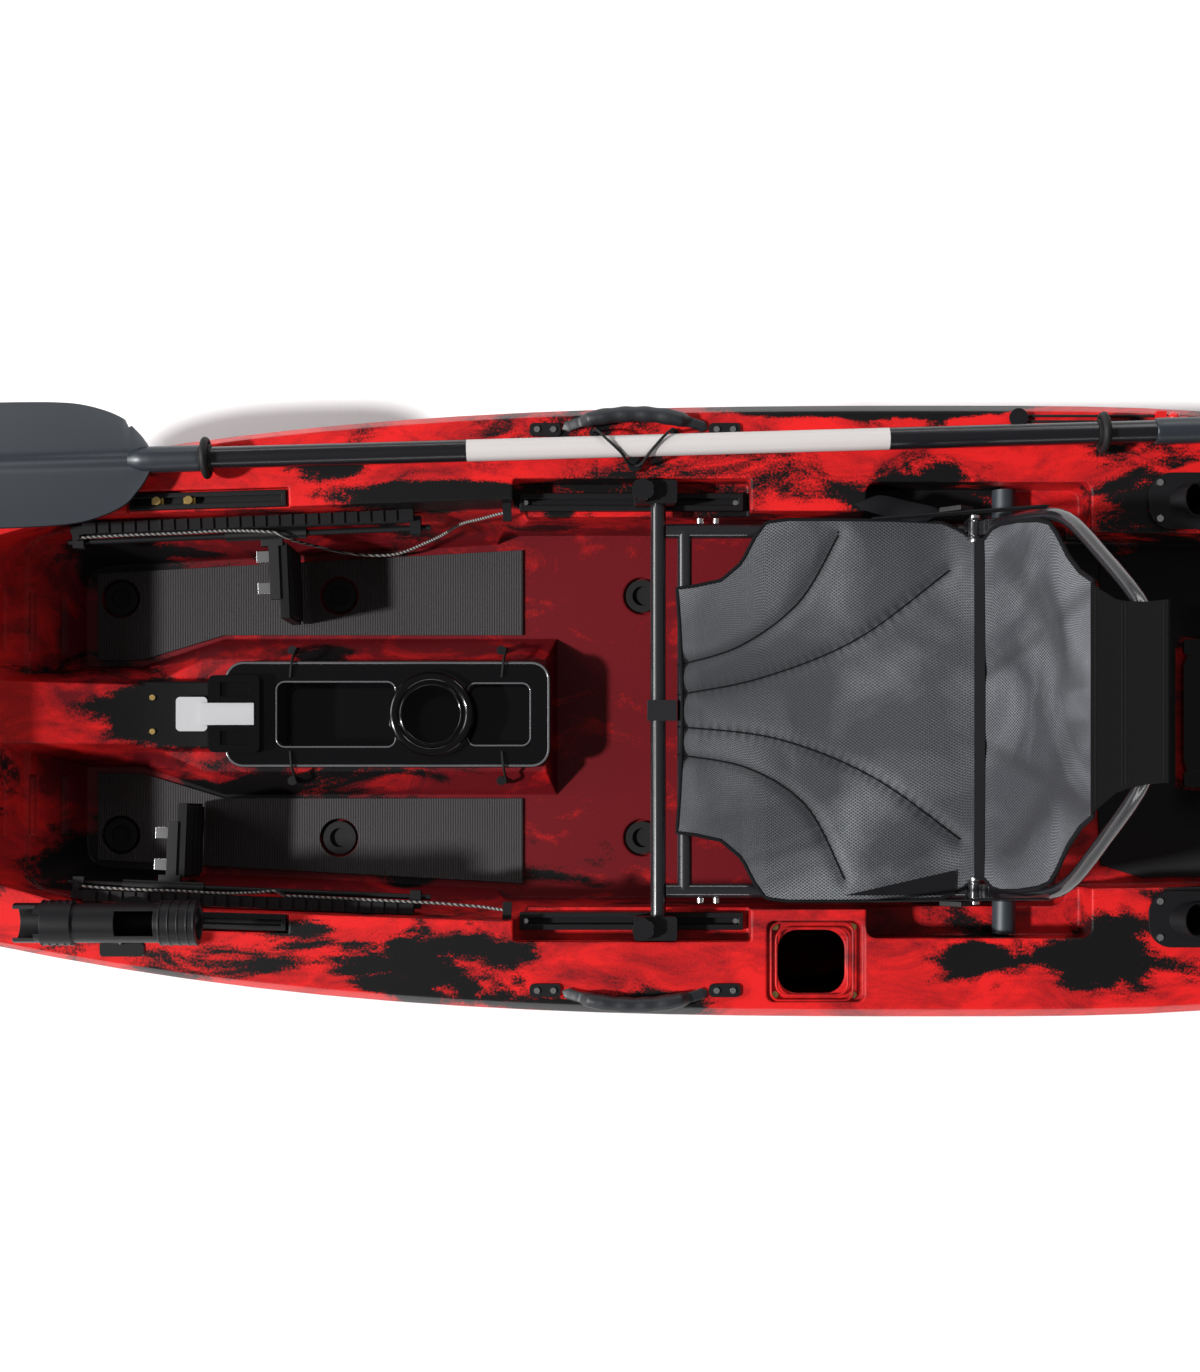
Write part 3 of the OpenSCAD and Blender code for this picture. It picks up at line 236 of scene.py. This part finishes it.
def cloud(tree, where, centre, reach, weight):
    """A soft lump of powder: weight at its centre, nothing past its reach."""
    at = node(tree, "ShaderNodeMapping", Scale=[1 / r for r in reach],
              Location=[-c / r for c, r in zip(centre, reach)])
    far = tree.nodes.new("ShaderNodeVectorMath")
    far.operation = "LENGTH"
    tree.links.new(where.outputs["Object"], at.inputs["Vector"])
    tree.links.new(at.outputs["Vector"], far.inputs[0])
    return ramp_between(tree, far.outputs["Value"], 0.15, 1, weight, 0)


field = maths(tree, "ADD", patch.outputs["Fac"], maths(tree, "MULTIPLY", streak.outputs["Fac"], 0.34))
field = maths(tree, "ADD", field, maths(tree, "MULTIPLY", speck.outputs["Fac"], 0.16))
# Each lump of powder: its centre, how far it reaches, and its weight (less than 0 means red).
lumps = (
    ((-0.6, 0, 0.2), (0.16, 0.06, 0.12), 0.36),
    ((0.02, 0.3, 0.3), (0.1, 0.03, 0.1), 0.16),
    ((0.38, 0.412, 0.3), (0.3, 0.022, 0.1), 0.4),
    ((0.68, -0.335, 0.3), (0.1, 0.09, 0.12), 0.34),
    ((-0.23, -0.36, 0.3), (0.17, 0.07, 0.12), 0.27),
    ((-0.39, -0.3, 0.3), (0.1, 0.03, 0.1), 0.2),
    ((0.0, -0.4, 0.3), (0.2, 0.03, 0.1), 0.25),
    ((0.5, -0.33, 0.3), (0.1, 0.07, 0.1), 0.16),
    ((-0.4, 0.335, 0.3), (0.14, 0.03, 0.1), 0.24),
    ((-0.2, 0.29, 0.3), (0.2, 0.025, 0.1), 0.26),
    ((0.44, 0.28, 0.27), (0.16, 0.07, 0.1), 0.26),
    ((0.72, 0.36, 0.3), (0.14, 0.09, 0.1), 0.16),
    ((-0.66, 0.2, 0.14), (0.14, 0.12, 0.1), 0.2),
    ((-0.68, -0.2, 0.14), (0.14, 0.12, 0.1), 0.22),
    ((0.1, 0, 0.11), (0.4, 0.3, 0.08), -0.2),
    ((-0.42, 0.095, 0.17), (0.12, 0.03, 0.08), 0.2),
    ((0.9, -0.3, 0.3), (0.2, 0.12, 0.12), 0.14),
    ((-0.1, 0, 0.11), (0.4, 0.3, 0.08), -0.2),
)
for centre, reach, weight in lumps:
    field = maths(tree, "ADD", field, cloud(tree, where, centre, reach, weight))
dark = ramp_between(tree, field, 0.79, 0.85)
height = tree.nodes.new("ShaderNodeSeparateXYZ")
tree.links.new(where.outputs["Object"], height.inputs[0])
# Painted shade: below 0.26 m the red is pushed towards dark red, most at the floor of the well, where shade falls. The
# streaks and specks add a real darker tone of red to the same mix.
low = ramp_between(tree, height.outputs["Z"], 0.1, 0.26, 0.28, 0)
streak_and_shade = ramp_between(tree, maths(tree, "ADD", maths(tree, "ADD", streak.outputs["Fac"], low),
                                maths(tree, "MULTIPLY", speck.outputs["Fac"], 0.2)), 0.52, 0.8)
red = mix_colour(tree, streak_and_shade, (0.6, 0.012, 0.012), (0.12, 0.006, 0.009))
tree.links.new(mix_colour(tree, dark, red, (0.005, 0.0045, 0.005)), shader.inputs["Base Color"])
soft_edge = tree.nodes.new("ShaderNodeBevel")
soft_edge.samples = 6
soft_edge.inputs["Radius"].default_value = 0.005
grain = node(tree, "ShaderNodeTexNoise", Scale=420, Detail=3)
bump = node(tree, "ShaderNodeBump", Strength=0.22, Distance=0.001)
tree.links.new(where.outputs["Object"], grain.inputs["Vector"])
tree.links.new(grain.outputs["Fac"], bump.inputs["Height"])
tree.links.new(soft_edge.outputs["Normal"], bump.inputs["Normal"])
tree.links.new(bump.outputs["Normal"], shader.inputs["Normal"])


def copy_of(name):
    """A welded copy of a CAD node, as a new piece that stands for it."""
    bpy.ops.object.select_all(action="DESELECT")
    bpy.ops.object.add(type="MESH")
    o = bpy.context.object
    o.name = name + "_skin"
    source = nodes[name].data
    o.data.from_pydata([tuple(v.co) for v in source.vertices], [], [tuple(p.vertices) for p in source.polygons])
    bpy.ops.object.mode_set(mode="EDIT")
    bpy.ops.mesh.select_all(action="SELECT")
    bpy.ops.mesh.remove_doubles(threshold=0.00002)
    bpy.ops.object.mode_set(mode="OBJECT")
    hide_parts(name)
    return o


hull = copy_of("hull_moulding")
bpy.ops.object.shade_smooth_by_angle(angle=math.radians(32))
hull.data.materials.append(marble)
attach(hull, "hull")

# Hard black fittings: glass-filled nylon and painted tube, moulded or bent, with a fine grain.
# Screws and brackets are turned or pressed metal; the cord eyes get the black nylon.
def paint(material, *names, width=0.0007):
    for name in names:
        o = nodes[name]
        o.data.materials.clear()
        o.data.materials.append(material)
        o.data.polygons.foreach_set("use_smooth", [True] * len(o.data.polygons))
        weld = o.modifiers.new("weld", "WELD")
        weld.merge_threshold = 0.00003
        edge = o.modifiers.new("edge", "BEVEL")
        edge.width = width
        edge.segments = 2
        edge.limit_method = "ANGLE"
        edge.angle_limit = math.radians(38)
        o.modifiers.new("normals", "WEIGHTED_NORMAL")


nylon, *_ = new_material("nylon", (0.006, 0.006, 0.007), 0.42, grain=0.16, shine=0.25)
paint(nylon, "drain_plug", "gear_tracks", "seat_rails", "foot_rails", "rod_tubes", "handle_plates", "pod_hooks",
      "deck_buttons", "starboard_steering_rod", "port_steering_rod", "seat_clamps",
      "starboard_clamp_knob", "port_clamp_knob", "seat_buckles", "holder_base", "holder_yoke", "holder_tube",
      "holder_knob", "rudder_bracket", "rudder_head", "rudder_blade")
tread, tree, shader, where = new_material("tread", (0.007, 0.007, 0.008), 0.45, shine=0.25)
ridge = node(tree, "ShaderNodeTexWave", Scale=46, Distortion=0)
ridge.bands_direction = "Z"
bump = node(tree, "ShaderNodeBump", Strength=0.8, Distance=0.002)
tree.links.new(where.outputs["Object"], ridge.inputs["Vector"])
tree.links.new(ridge.outputs["Fac"], bump.inputs["Height"])
tree.links.new(bump.outputs["Normal"], shader.inputs["Normal"])
tree.links.new(mix_colour(tree, ridge.outputs["Fac"], (0.004, 0.004, 0.004), (0.016, 0.016, 0.017)),
               shader.inputs["Base Color"])
paint(tread, "starboard_pedal", "port_pedal")
cap, *_ = new_material("cap", (0.02, 0.027, 0.034), 0.5, grain=0.1)
paint(cap, "seat_end_caps")
tube_paint, *_ = new_material("tube_paint", (0.012, 0.012, 0.014), 0.22, coat=0.5)
paint(tube_paint, "seat_crossbar", "seat_frame", "seat_rear_bar", "back_frame")
rubber, *_ = new_material("rubber", (0.008, 0.008, 0.008), 0.62, grain=0.1, shine=0.25)
paint(rubber, "scupper_plugs", "drip_rings")
gloss, *_ = new_material("gloss", (0.002, 0.002, 0.0025), 0.14, coat=0.2, shine=0.3)
# Painted highlight: the tray's rims get a lighter grey gloss than the black tray, so they read as bright edge lines.
rim_highlight, *_ = new_material("rim_highlight", (0.09, 0.09, 0.095), 0.2, coat=0.4)
paint(gloss, "pod_tray", "pod_latch", "bow_hatch_lid", "rear_hatch_lid", width=0.0022)
pale, *_ = new_material("pale", (0.42, 0.42, 0.43), 0.35)
paint(pale, "latch_tongue", width=0.004)
white, *_ = new_material("white", (0.5, 0.47, 0.46), 0.4)
paint(white, "paddle_centre")
shaft, *_ = new_material("shaft", (0.006, 0.006, 0.008), 0.28)
paint(shaft, "paddle_shaft")
brass, *_ = new_material("brass", (0.72, 0.5, 0.18), 0.3, metallic=1)
paint(brass, "brass_screws", "track_nuts")
steel, *_ = new_material("steel", (0.72, 0.72, 0.72), 0.22, metallic=1)
paint(nylon, "cord_eyes")
paint(steel, "steel_screws", "seat_bolts", "starboard_pedal_brackets", "port_pedal_brackets")
toggle, *_ = new_material("toggle", (0.55, 0.01, 0.01), 0.3)
paint(toggle, "lift_toggle")
elastic, *_ = new_material("elastic", (0.01, 0.01, 0.01), 0.75, grain=0.4, shine=0.2)
paint(elastic, "bungee_loops", "keeper_bungee", "lift_line")

# Tray rims: the tray is pressed from one glossy sheet, so its rims are round. They run round the
# outer edge and both bins, and a thick doubled ring stands up round the cup hole.
lo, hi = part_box("pod_tray")
bins = [o["box_m"] for o in frame["record"]["physics"]["openings"] if o["name"].startswith("tray_")]
cup = next(q["pos_m"] for q in frame["record"]["mounts"] if q["name"] == "cup_bore")
rim_in = 0.0025


def border(name, points, radius, material, closed=True, roundness=3):
    """A round beading, hem or binding tape of one radius along the points."""
    bpy.ops.object.select_all(action="DESELECT")
    bpy.ops.object.add(type="CURVE")
    o = bpy.context.object
    o.name = name
    o.data.dimensions = "3D"
    line = o.data.splines.new("POLY")
    line.points.add(len(points) - 1)
    for p, q in zip(line.points, points):
        p.co = (*q, 1)
    line.use_cyclic_u = closed
    o.data.bevel_depth = radius
    o.data.bevel_resolution = roundness
    bpy.ops.object.convert(target="MESH")
    bpy.ops.object.shade_smooth()
    o = bpy.context.object
    o.data.materials.append(material)
    return o


def rounded_loop(x0, x1, y0, y1, r, z, steps):
    """Points round a rectangle with round corners, steps to each corner."""
    corners = ((x1 - r, y1 - r, 0), (x0 + r, y1 - r, 90), (x0 + r, y0 + r, 180), (x1 - r, y0 + r, 270))
    return [(cx + r * math.cos(math.radians(a)), cy + r * math.sin(math.radians(a)), z)
            for cx, cy, start in corners for a in np.linspace(start, start + 90, steps)]


lips = [(lo.x + rim_in, hi.x - rim_in, hi.y - rim_in, 0.024, hi.z - 0.0115, 0.0022)]
lips += [(b[0][0] - 0.002, b[1][0] + 0.002, b[1][1] + 0.002, 0.012, hi.z - 0.0098, 0.0013) for b in bins]
# The rims round the edge and the bins carry the painted highlight grey.
for i, (x0, x1, y1, corner, z, thick) in enumerate(lips):
    lip = border(f"tray_lip_{i}", rounded_loop(x0, x1, -y1, y1, corner, z, 10), thick, rim_highlight, roundness=4)
    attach(lip, "pod")
for i, (wide, thick, z) in enumerate(((0.053, 0.0078, -0.0042), (0.0425, 0.0028, -0.0008))):
    bpy.ops.object.select_all(action="DESELECT")
    bpy.ops.mesh.primitive_torus_add(location=(cup[0], 0, hi.z + z), major_radius=wide, minor_radius=thick,
                                     major_segments=72, minor_segments=16)
    ring = bpy.context.object
    bpy.ops.object.transform_apply(location=True, rotation=True, scale=True)
    bpy.ops.object.shade_smooth()
    ring.name = f"cup_ring_{i}"
    ring.data.materials.append(gloss)
    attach(ring, "pod")

# Mats: 4 mm closed-cell foam, glued down. The foot mats are grey with fine ribs that run across
# the boat, the mat of the rear well is black with a fine pebbled face.
foam, tree, shader, where = new_material("foam", (0.05, 0.048, 0.05), 0.85, shine=0.2)
ribs = node(tree, "ShaderNodeTexWave", Scale=128, Distortion=0)
ribs.bands_direction = "X"
bump = node(tree, "ShaderNodeBump", Strength=0.7, Distance=0.0012)
tree.links.new(where.outputs["Object"], ribs.inputs["Vector"])
tree.links.new(ribs.outputs["Fac"], bump.inputs["Height"])
tree.links.new(bump.outputs["Normal"], shader.inputs["Normal"])
tree.links.new(mix_colour(tree, ribs.outputs["Fac"], (0.026, 0.025, 0.026), (0.075, 0.071, 0.073)),
               shader.inputs["Base Color"])
paint(foam, "foot_mats")
pebble, *_ = new_material("pebble", (0.009, 0.009, 0.01), 0.8, grain=0.8, grain_scale=420, shine=0.2)
paint(pebble, "tank_mat")

# Seat pan: a sheet of coated mesh pulled over the side tubes and bound with black tape. Four pressed
# seams fan out from the middle of the front edge and the cloth dips between them.
mesh_cloth, tree, shader, where = new_material("mesh_cloth", (0.1, 0.11, 0.13), 0.6)
uv = node(tree, "ShaderNodeUVMap")
uv.uv_map = "cloth"
weave_at = node(tree, "ShaderNodeMapping", Scale=(1, 0.7, 1), Rotation=(0, 0, 0.785))
voronoi = node(tree, "ShaderNodeTexVoronoi", Scale=340, Randomness=0.12)
# Painted highlight: broad patches from a noise lighten the cloth's colour, standing in for light on the folds between
# the seams. The seat back uses the same cloth.
highlight_noise = node(tree, "ShaderNodeTexNoise", Scale=5.5, Detail=3, Distortion=0.8)
tree.links.new(uv.outputs["UV"], weave_at.inputs["Vector"])
tree.links.new(weave_at.outputs["Vector"], voronoi.inputs["Vector"])
tree.links.new(where.outputs["Object"], highlight_noise.inputs["Vector"])
holes = ramp_between(tree, voronoi.outputs["Distance"], 0.2, 0.55, 1, 0)
painted_highlight = ramp_between(tree, highlight_noise.outputs["Fac"], 0.4, 0.7)
cloth = mix_colour(tree, painted_highlight, (0.045, 0.048, 0.056), (0.19, 0.2, 0.215))
cloth = mix_colour(tree, holes, cloth, (0.012, 0.012, 0.014))
seam = node(tree, "ShaderNodeAttribute")
seam.attribute_name = "seam"
cloth = mix_colour(tree, ramp_between(tree, seam.outputs["Fac"], 0.3, 1, 0, 0.45), cloth, (0.012, 0.012, 0.014))
tree.links.new(cloth, shader.inputs["Base Color"])
bump = node(tree, "ShaderNodeBump", Strength=0.5, Distance=0.001)
tree.links.new(holes, bump.inputs["Height"])
bump.invert = True
tree.links.new(bump.outputs["Normal"], shader.inputs["Normal"])
tape, *_ = new_material("tape", (0.005, 0.005, 0.006), 0.8, grain=0.4, grain_scale=1500, shine=0.12)


def cloth_piece(name, rows, columns, place, thick, off, seams, depth, material):
    """A closed thin sheet over a grid. place(s, t) gives a point, s along and t across from -1 to 1."""
    bpy.ops.object.select_all(action="DESELECT")
    bpy.ops.mesh.primitive_grid_add(x_subdivisions=columns, y_subdivisions=rows, size=2)
    o = bpy.context.object
    o.name = name
    flat = np.array([v.co[:] for v in o.data.vertices])
    points = np.array([place((1 + y) / 2, x) for x, y, _ in flat])
    near = np.zeros(len(points))
    if seams:
        lines = [np.array(smooth(line, 12)) for line in seams]
        for line in lines:
            d = np.min(np.linalg.norm(points[:, None, :2] - line[None, :, :2], axis=2), axis=1)
            near = np.maximum(near, np.exp(-(d / 0.011) ** 2))
        points = points - np.outer(near * depth, off)
    o.data.vertices.foreach_set("co", points.ravel())
    layer = o.data.uv_layers.active or o.data.uv_layers.new(name="cloth")
    layer.name = "cloth"
    size = np.array([np.ptp(points[:, 1]), max(np.ptp(points[:, 0]), np.ptp(points[:, 2]))]) / 2
    for loop in o.data.loops:
        x, y, _ = flat[loop.vertex_index]
        layer.data[loop.index].uv = (x * size[0], y * size[1])
    o.data.attributes.new("seam", "FLOAT", "POINT").data.foreach_set("value", near.astype(np.float32))
    o.data.update()
    skin = o.modifiers.new("skin", "SOLIDIFY")
    skin.thickness = thick
    skin.offset = 0
    bpy.ops.object.modifier_apply(modifier="skin")
    bpy.ops.object.shade_smooth_by_angle(angle=math.radians(50))
    o.data.materials.append(material)
    return o


pan_lo, pan_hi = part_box("seat_mesh")
pan_len = pan_hi.x - pan_lo.x
half_w = (pan_hi.y - pan_lo.y) / 2
outline = np.array([(0, 165), (24, 168), (60, 176), (88, 200), (104, 232), (120, 254), (150, 258), (220, 258),
                    (290, 257), (350, 254), (372, 242), (387, 226)]) / (387, 258)
side_inner = half_w - 0.026


def pan_point(s, t):
    w = np.interp(s, outline[:, 0], outline[:, 1]) * half_w
    x = pan_lo.x + s * pan_len + 0.017 * s ** 6
    y = t * w
    u = min(1, abs(y) / side_inner)
    rise = max(0, (x - 0.127) / (pan_hi.x - 0.127))
    sag = 0.0115 * (1 - u * u) * math.sin(math.pi * rise)
    dip = 0.004 * sum(math.exp(-(((x - 0.455) / 0.03) ** 2 + ((y - q) / 0.035) ** 2)) for q in (-0.195, 0.195))
    bow = 0.012 * (1 - s) ** 6 * (1 - t * t)
    return (x + bow * 0.6, y, pan_hi.z - 0.0018 - sag - dip)


seams = [[(0.104, 0.061, 0), (0.19, 0.088, 0), (0.27, 0.148, 0), (0.322, 0.237, 0)],
         [(0.104, 0.021, 0), (0.22, 0.045, 0), (0.35, 0.098, 0), (0.473, 0.19, 0)],
         [(0.104, -0.022, 0), (0.24, -0.038, 0), (0.37, -0.09, 0), (0.487, -0.175, 0)],
         [(0.104, -0.06, 0), (0.20, -0.078, 0), (0.28, -0.13, 0), (0.331, -0.229, 0)]]
pan = cloth_piece("pan_cloth", 150, 200, pan_point, 0.0024, (0, 0, 1), seams, 0.0045, mesh_cloth)
ring = [pan_point(s, 1) for s in np.linspace(0, 1, 60)] + [pan_point(1, t) for t in np.linspace(1, -1, 30)] \
    + [pan_point(s, -1) for s in np.linspace(1, 0, 60)] + [pan_point(0, t) for t in np.linspace(-1, 1, 30)]
pan_tape = border("pan_tape", ring, 0.0026, tape)
stitch_deep = 0.0024
stitches = []
for i, line in enumerate(seams):
    at = []
    for x, y, _ in smooth(line, 12):
        along = (x - pan_lo.x) / pan_len
        across = y / (half_w * np.interp(along, outline[:, 0], outline[:, 1]))
        at.append((x, y, pan_point(along, across)[2] - stitch_deep))
    stitches.append(border(f"pan_seam_{i}", at, 0.0011, tape, closed=False))
for o in (pan, pan_tape, *stitches):
    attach(o, "seat")
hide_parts("seat_mesh")

# Seat back: the same cloth over the arch, with a plain black band at its foot, two diagonal seams
# and a bound edge. The upper panel is coated cloth with a doubled hem and two stitched seams.
joint = next(j for j in frame["joints"] if j["name"] == "back_fold")
pin = Vector(joint["pos_m"])
lean = math.radians(17.7)
back_rows = np.array([(0.06, 226), (0.1, 238), (0.15, 241), (0.25, 239), (0.36, 233), (0.42, 226), (0.46, 210),
                      (0.52, 178), (0.58, 156), (0.643, 142)])
back_h = 0.447


def back_point(s, t, low=0.03, high=0.643, rows=back_rows, front=0.0021, crown=0.01):
    up = low + (high - low) * s
    w = np.interp(up, rows[:, 0], rows[:, 1]) / 1000 * half_w / 0.258
    h = up * back_h
    bulge = crown * (1 - t * t) * math.sin(math.pi * min(1, s))
    x = front + bulge - (0.009 * (1 - up / 0.12) ** 2 if up < 0.12 else 0)
    return (pin.x + x * math.cos(lean) + h * math.sin(lean), t * w, pin.z - x * math.sin(lean) + h * math.cos(lean))


out = (-math.cos(lean), 0, math.sin(lean))
plan = [[(0.53, 0.2, 0), (0.56, 0.12, 0), (0.585, 0.02, 0)], [(0.53, -0.19, 0), (0.56, -0.13, 0), (0.585, -0.03, 0)],
        [(0.515, 0.05, 0), (0.56, 0.09, 0), (0.59, 0.13, 0)], [(0.515, -0.05, 0), (0.56, -0.09, 0), (0.59, -0.13, 0)]]
back = cloth_piece("back_cloth", 110, 180, back_point, 0.0024, out, plan, 0.003, mesh_cloth)
edge_ring = [back_point(s, 1) for s in np.linspace(0, 1, 60)] + [back_point(1, t) for t in np.linspace(1, -1, 30)] \
    + [back_point(s, -1) for s in np.linspace(1, 0, 60)] + [back_point(0, t) for t in np.linspace(-1, 1, 30)]
back_tape = border("back_tape", edge_ring, 0.003, tape)
band_h = 0.055
foot_band = cloth_piece("foot_band", 8, 60,
                        lambda s, t: tuple(Vector(back_point(s * band_h, t)) + Vector(out) * 0.0016),
                        0.0012, out, None, 0, tape)
panel_rows = np.array([(0.645, 140), (0.68, 130), (0.72, 122), (0.76, 114), (0.82, 109), (0.9, 105), (1, 103)])
panel_cloth, *_ = new_material("panel_cloth", (0.003, 0.0028, 0.0028), 0.8, grain=0.35, grain_scale=1300, shine=0.08)
panel = cloth_piece("panel_cloth", 60, 60,
                    lambda s, t: back_point(s, t, 0.645, 1.0, panel_rows, 0.0005, 0), 0.0026, out, None, 0, panel_cloth)
hems = [border(f"hem_{i}", [tuple(Vector(back_point(s, t, 0.645, 1.0, panel_rows, 0.0005, 0)) + Vector(out) * 0.0014)
                            for t in np.linspace(-0.97, 0.97, 40)], 0.0011, tape, closed=False)
        for i, s in enumerate((0.06, 0.42, 0.47, 0.95))]
for o in (back, back_tape, foot_band, panel, *hems):
    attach(o, "seat_back")
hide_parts("back_mesh")
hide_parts("back_panel")

# Straps: flat black webbing from the pan's sides, through a buckle, to the arch. The real ones go
# slack as the back folds. These are rigid and ride on the pan, so they stay where they are.
paint(tape, "seat_straps")
def loose_point(s, t):
    taper = max(0.15, 1 - (2 * s - 1) ** 6) ** 0.5
    return (0.355 + 0.095 * s + 0.012 * t, 0.281 - 0.022 * s + 0.010 * t * taper,
            0.3105 - 0.003 * t * t + 0.002 * math.sin(9 * s))


def gusset_point(s, t):
    return (0.33 + 0.15 * s, -half_w * 0.985 + 0.004 + (0.5 + 0.5 * t) * 0.034 * s, pan_hi.z + 0.0018)


loose = cloth_piece("loose_end", 12, 40, loose_point, 0.004, (0, 0, 1), None, 0, tape)
gusset = cloth_piece("gusset", 20, 30, gusset_point, 0.0014, (0, 0, 1), None, 0, tape)
for o in (loose, gusset):
    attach(o, "seat")


def roll(name, path, sizes, material, sides=24):
    """A closed padded roll along a path, with a half width and a half height at each point."""
    path, sizes = np.array(smooth(path, 6)), np.array(smooth([(*z, 0) for z in sizes], 6))[:, :2]
    along = np.gradient(path, axis=0)
    along /= np.linalg.norm(along, axis=1)[:, None]
    across = np.cross(along, (0, 0, 1))
    across /= np.linalg.norm(across, axis=1)[:, None]
    up = np.cross(across, along)
    bpy.ops.object.select_all(action="DESELECT")
    bpy.ops.mesh.primitive_grid_add(x_subdivisions=len(path) - 1, y_subdivisions=sides, size=2)
    o = bpy.context.object
    o.name = name
    for v in o.data.vertices:
        i = round((v.co.x + 1) / 2 * (len(path) - 1))
        turn = math.pi * (v.co.y + 1)
        v.co = path[i] + across[i] * sizes[i][0] * math.cos(turn) + up[i] * sizes[i][1] * math.sin(turn)
    bpy.ops.object.mode_set(mode="EDIT")
    bpy.ops.mesh.select_all(action="SELECT")
    bpy.ops.mesh.remove_doubles(threshold=0.00003)
    bpy.ops.mesh.normals_make_consistent(inside=False)
    bpy.ops.object.mode_set(mode="OBJECT")
    bpy.ops.object.shade_smooth()
    o.data.materials.append(material)
    return o


# Handles: a soft ribbed rubber grip moulded round webbing. The webbing runs out flat from both ends
# and goes under the plates that the rivets hold to the deck.
grip, *_ = new_material("grip", (0.011, 0.012, 0.015), 0.5, grain=0.2, grain_scale=500)
web_half, web_thin = 0.007, 0.0015
for side, name in ((1, "starboard_handle"), (-1, "port_handle")):
    lo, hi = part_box(name)
    near, far = (lo.y, hi.y) if side > 0 else (hi.y, lo.y)
    path, sizes = [], []
    for k in range(33):
        s = k / 32
        bow = math.sin(math.pi * s) ** 0.8
        x = lo.x + 0.001 + (hi.x - lo.x - 0.002) * s
        path.append((x, near + side * (0.0075 + 0.018 * bow), lo.z + 0.002 + 0.0125 * min(1, 4.5 * min(s, 1 - s))))
        held = min(1, max(0, (min(s, 1 - s) - 0.13) / 0.06))
        r = 0.0105 + 0.0005 * math.cos(14 * math.pi * s)
        if k in (0, 32):
            sizes.append((0.0001, 0.0001))
        else:
            sizes.append((web_half + (r - web_half) * held, web_thin + (r - web_thin) * held))
    handle = roll(name + "_grip", path, sizes, grip)
    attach(handle, name)
    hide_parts(name)

# Rod holder rims, and the rims of the square port: raised rings moulded in one with the tube's
# collars, and a doubled lip round the port that its cover seats on.
lo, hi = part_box("holder_tube")
swing = next(j for j in frame["joints"] if j["name"] == "holder_tilt")["pos_m"]
for x in (-0.094, -0.084, -0.074, -0.064, -0.056, 0.06, 0.072, 0.084, 0.096, 0.105):
    bpy.ops.object.select_all(action="DESELECT")
    bpy.ops.mesh.primitive_torus_add(location=(swing[0] + x, swing[1], 0.398), rotation=(0, math.pi / 2, 0),
                                     major_radius=(hi.y - lo.y) / 2 - 0.0005, minor_radius=0.0017,
                                     major_segments=48, minor_segments=8)
    ring = bpy.context.object
    bpy.ops.object.transform_apply(location=True, rotation=True, scale=True)
    ring.name = f"holder_ring_{x}"
    if x < -0.05:
        bpy.ops.object.mode_set(mode="EDIT")
        bpy.ops.mesh.select_all(action="SELECT")
        bpy.ops.mesh.bisect(plane_co=(0, 0, 0.4095), plane_no=(0, 0, 1), clear_outer=True, use_fill=True)
        bpy.ops.object.mode_set(mode="OBJECT")
    bpy.ops.object.shade_smooth()
    ring.data.materials.append(nylon)
    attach(ring, "holder")
port = next(o for o in frame["record"]["physics"]["openings"] if o["name"] == "square_port")["box_m"]
px, py = (port[0][0] + port[1][0]) / 2, (port[0][1] + port[1][1]) / 2
lip_z = 0.2952
for i, (half_x, half_y, corner) in enumerate(((0.0485, 0.0455, 0.016), (0.0555, 0.0525, 0.012))):
    loop = rounded_loop(px - half_x, px + half_x, py - half_y, py + half_y, corner, lip_z, 9)
    o = border(f"port_lip_{i}", loop, 0.0016, marble)
    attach(o, "hull")

# Paddle blades: glass-filled nylon, moulded thin with a raised spine down the middle, and a sleeve
# that the shaft goes into. Each blade's throat has a small notch on its starboard side.
blade_skin, *_ = new_material("blade_skin", (0.016, 0.02, 0.026), 0.4, grain=0.1)
lo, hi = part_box("paddle_blades")
turn = math.radians(1.62)
middle = (lo + hi) / 2
half_len = (hi.x - lo.x) / 2 / math.cos(turn) - 0.0015
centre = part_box("paddle_centre")
axis_y, axis_z = (centre[0].y + centre[1].y) / 2, (centre[0].z + centre[1].z) / 2
blade_len, blade_half = 0.46, 0.084
throat = half_len - blade_len
blade_rows = ((0, 0.17), (9, 0.36), (20, 0.52), (33, 0.68), (60, 0.84), (100, 0.96), (160, 1), (240, 1),
              (320, 0.94), (380, 0.8), (420, 0.62), (446, 0.38), (460, 0.06))
outline_rows = np.array(smooth([(d / 1000, w, 0) for d, w in blade_rows], 8))
sleeve_rows = ((-0.066, 0.0148), (-0.0655, 0.0172), (-0.05, 0.0175), (-0.02, 0.0175), (0.004, 0.0172),
               (0.02, 0.014), (0.045, 0.0005))
for end in (-1, 1):
    def blade_point(s, t, end=end):
        d = blade_len * (1 - (1 - s) ** 1.3)
        w = np.interp(d, outline_rows[:, 0], outline_rows[:, 1]) * blade_half
        w *= 0.95 if t > 0 else 1.03
        if t > 0 and 0.024 < d < 0.031:
            w *= 0.86
        u = throat + d
        spine = 0.0055 * math.exp(-(t * w / 0.007) ** 2) * max(0, 1 - d / 0.36) ** 0.5
        z = 0.0015 + 0.004 * (d / blade_len) ** 2 + 0.005 * t * t * w / blade_half + spine
        x, y = end * u, t * w
        return (middle.x + x * math.cos(turn) - y * math.sin(turn),
                axis_y + x * math.sin(turn) + y * math.cos(turn), axis_z + z)
    o = cloth_piece(f"blade_{end}", 130, 60, blade_point, 0.005, (0, 0, 1), None, 0, blade_skin)
    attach(o, "paddle")
    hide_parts("paddle_blades")
    ends = [(middle.x + end * (throat + q) * math.cos(turn), axis_y + end * (throat + q) * math.sin(turn), axis_z)
            for q, _ in sleeve_rows]
    sleeve = roll(f"sleeve_{end}", ends, [(r, r) for _, r in sleeve_rows], blade_skin)
    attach(sleeve, "paddle")
    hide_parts("paddle_blades")
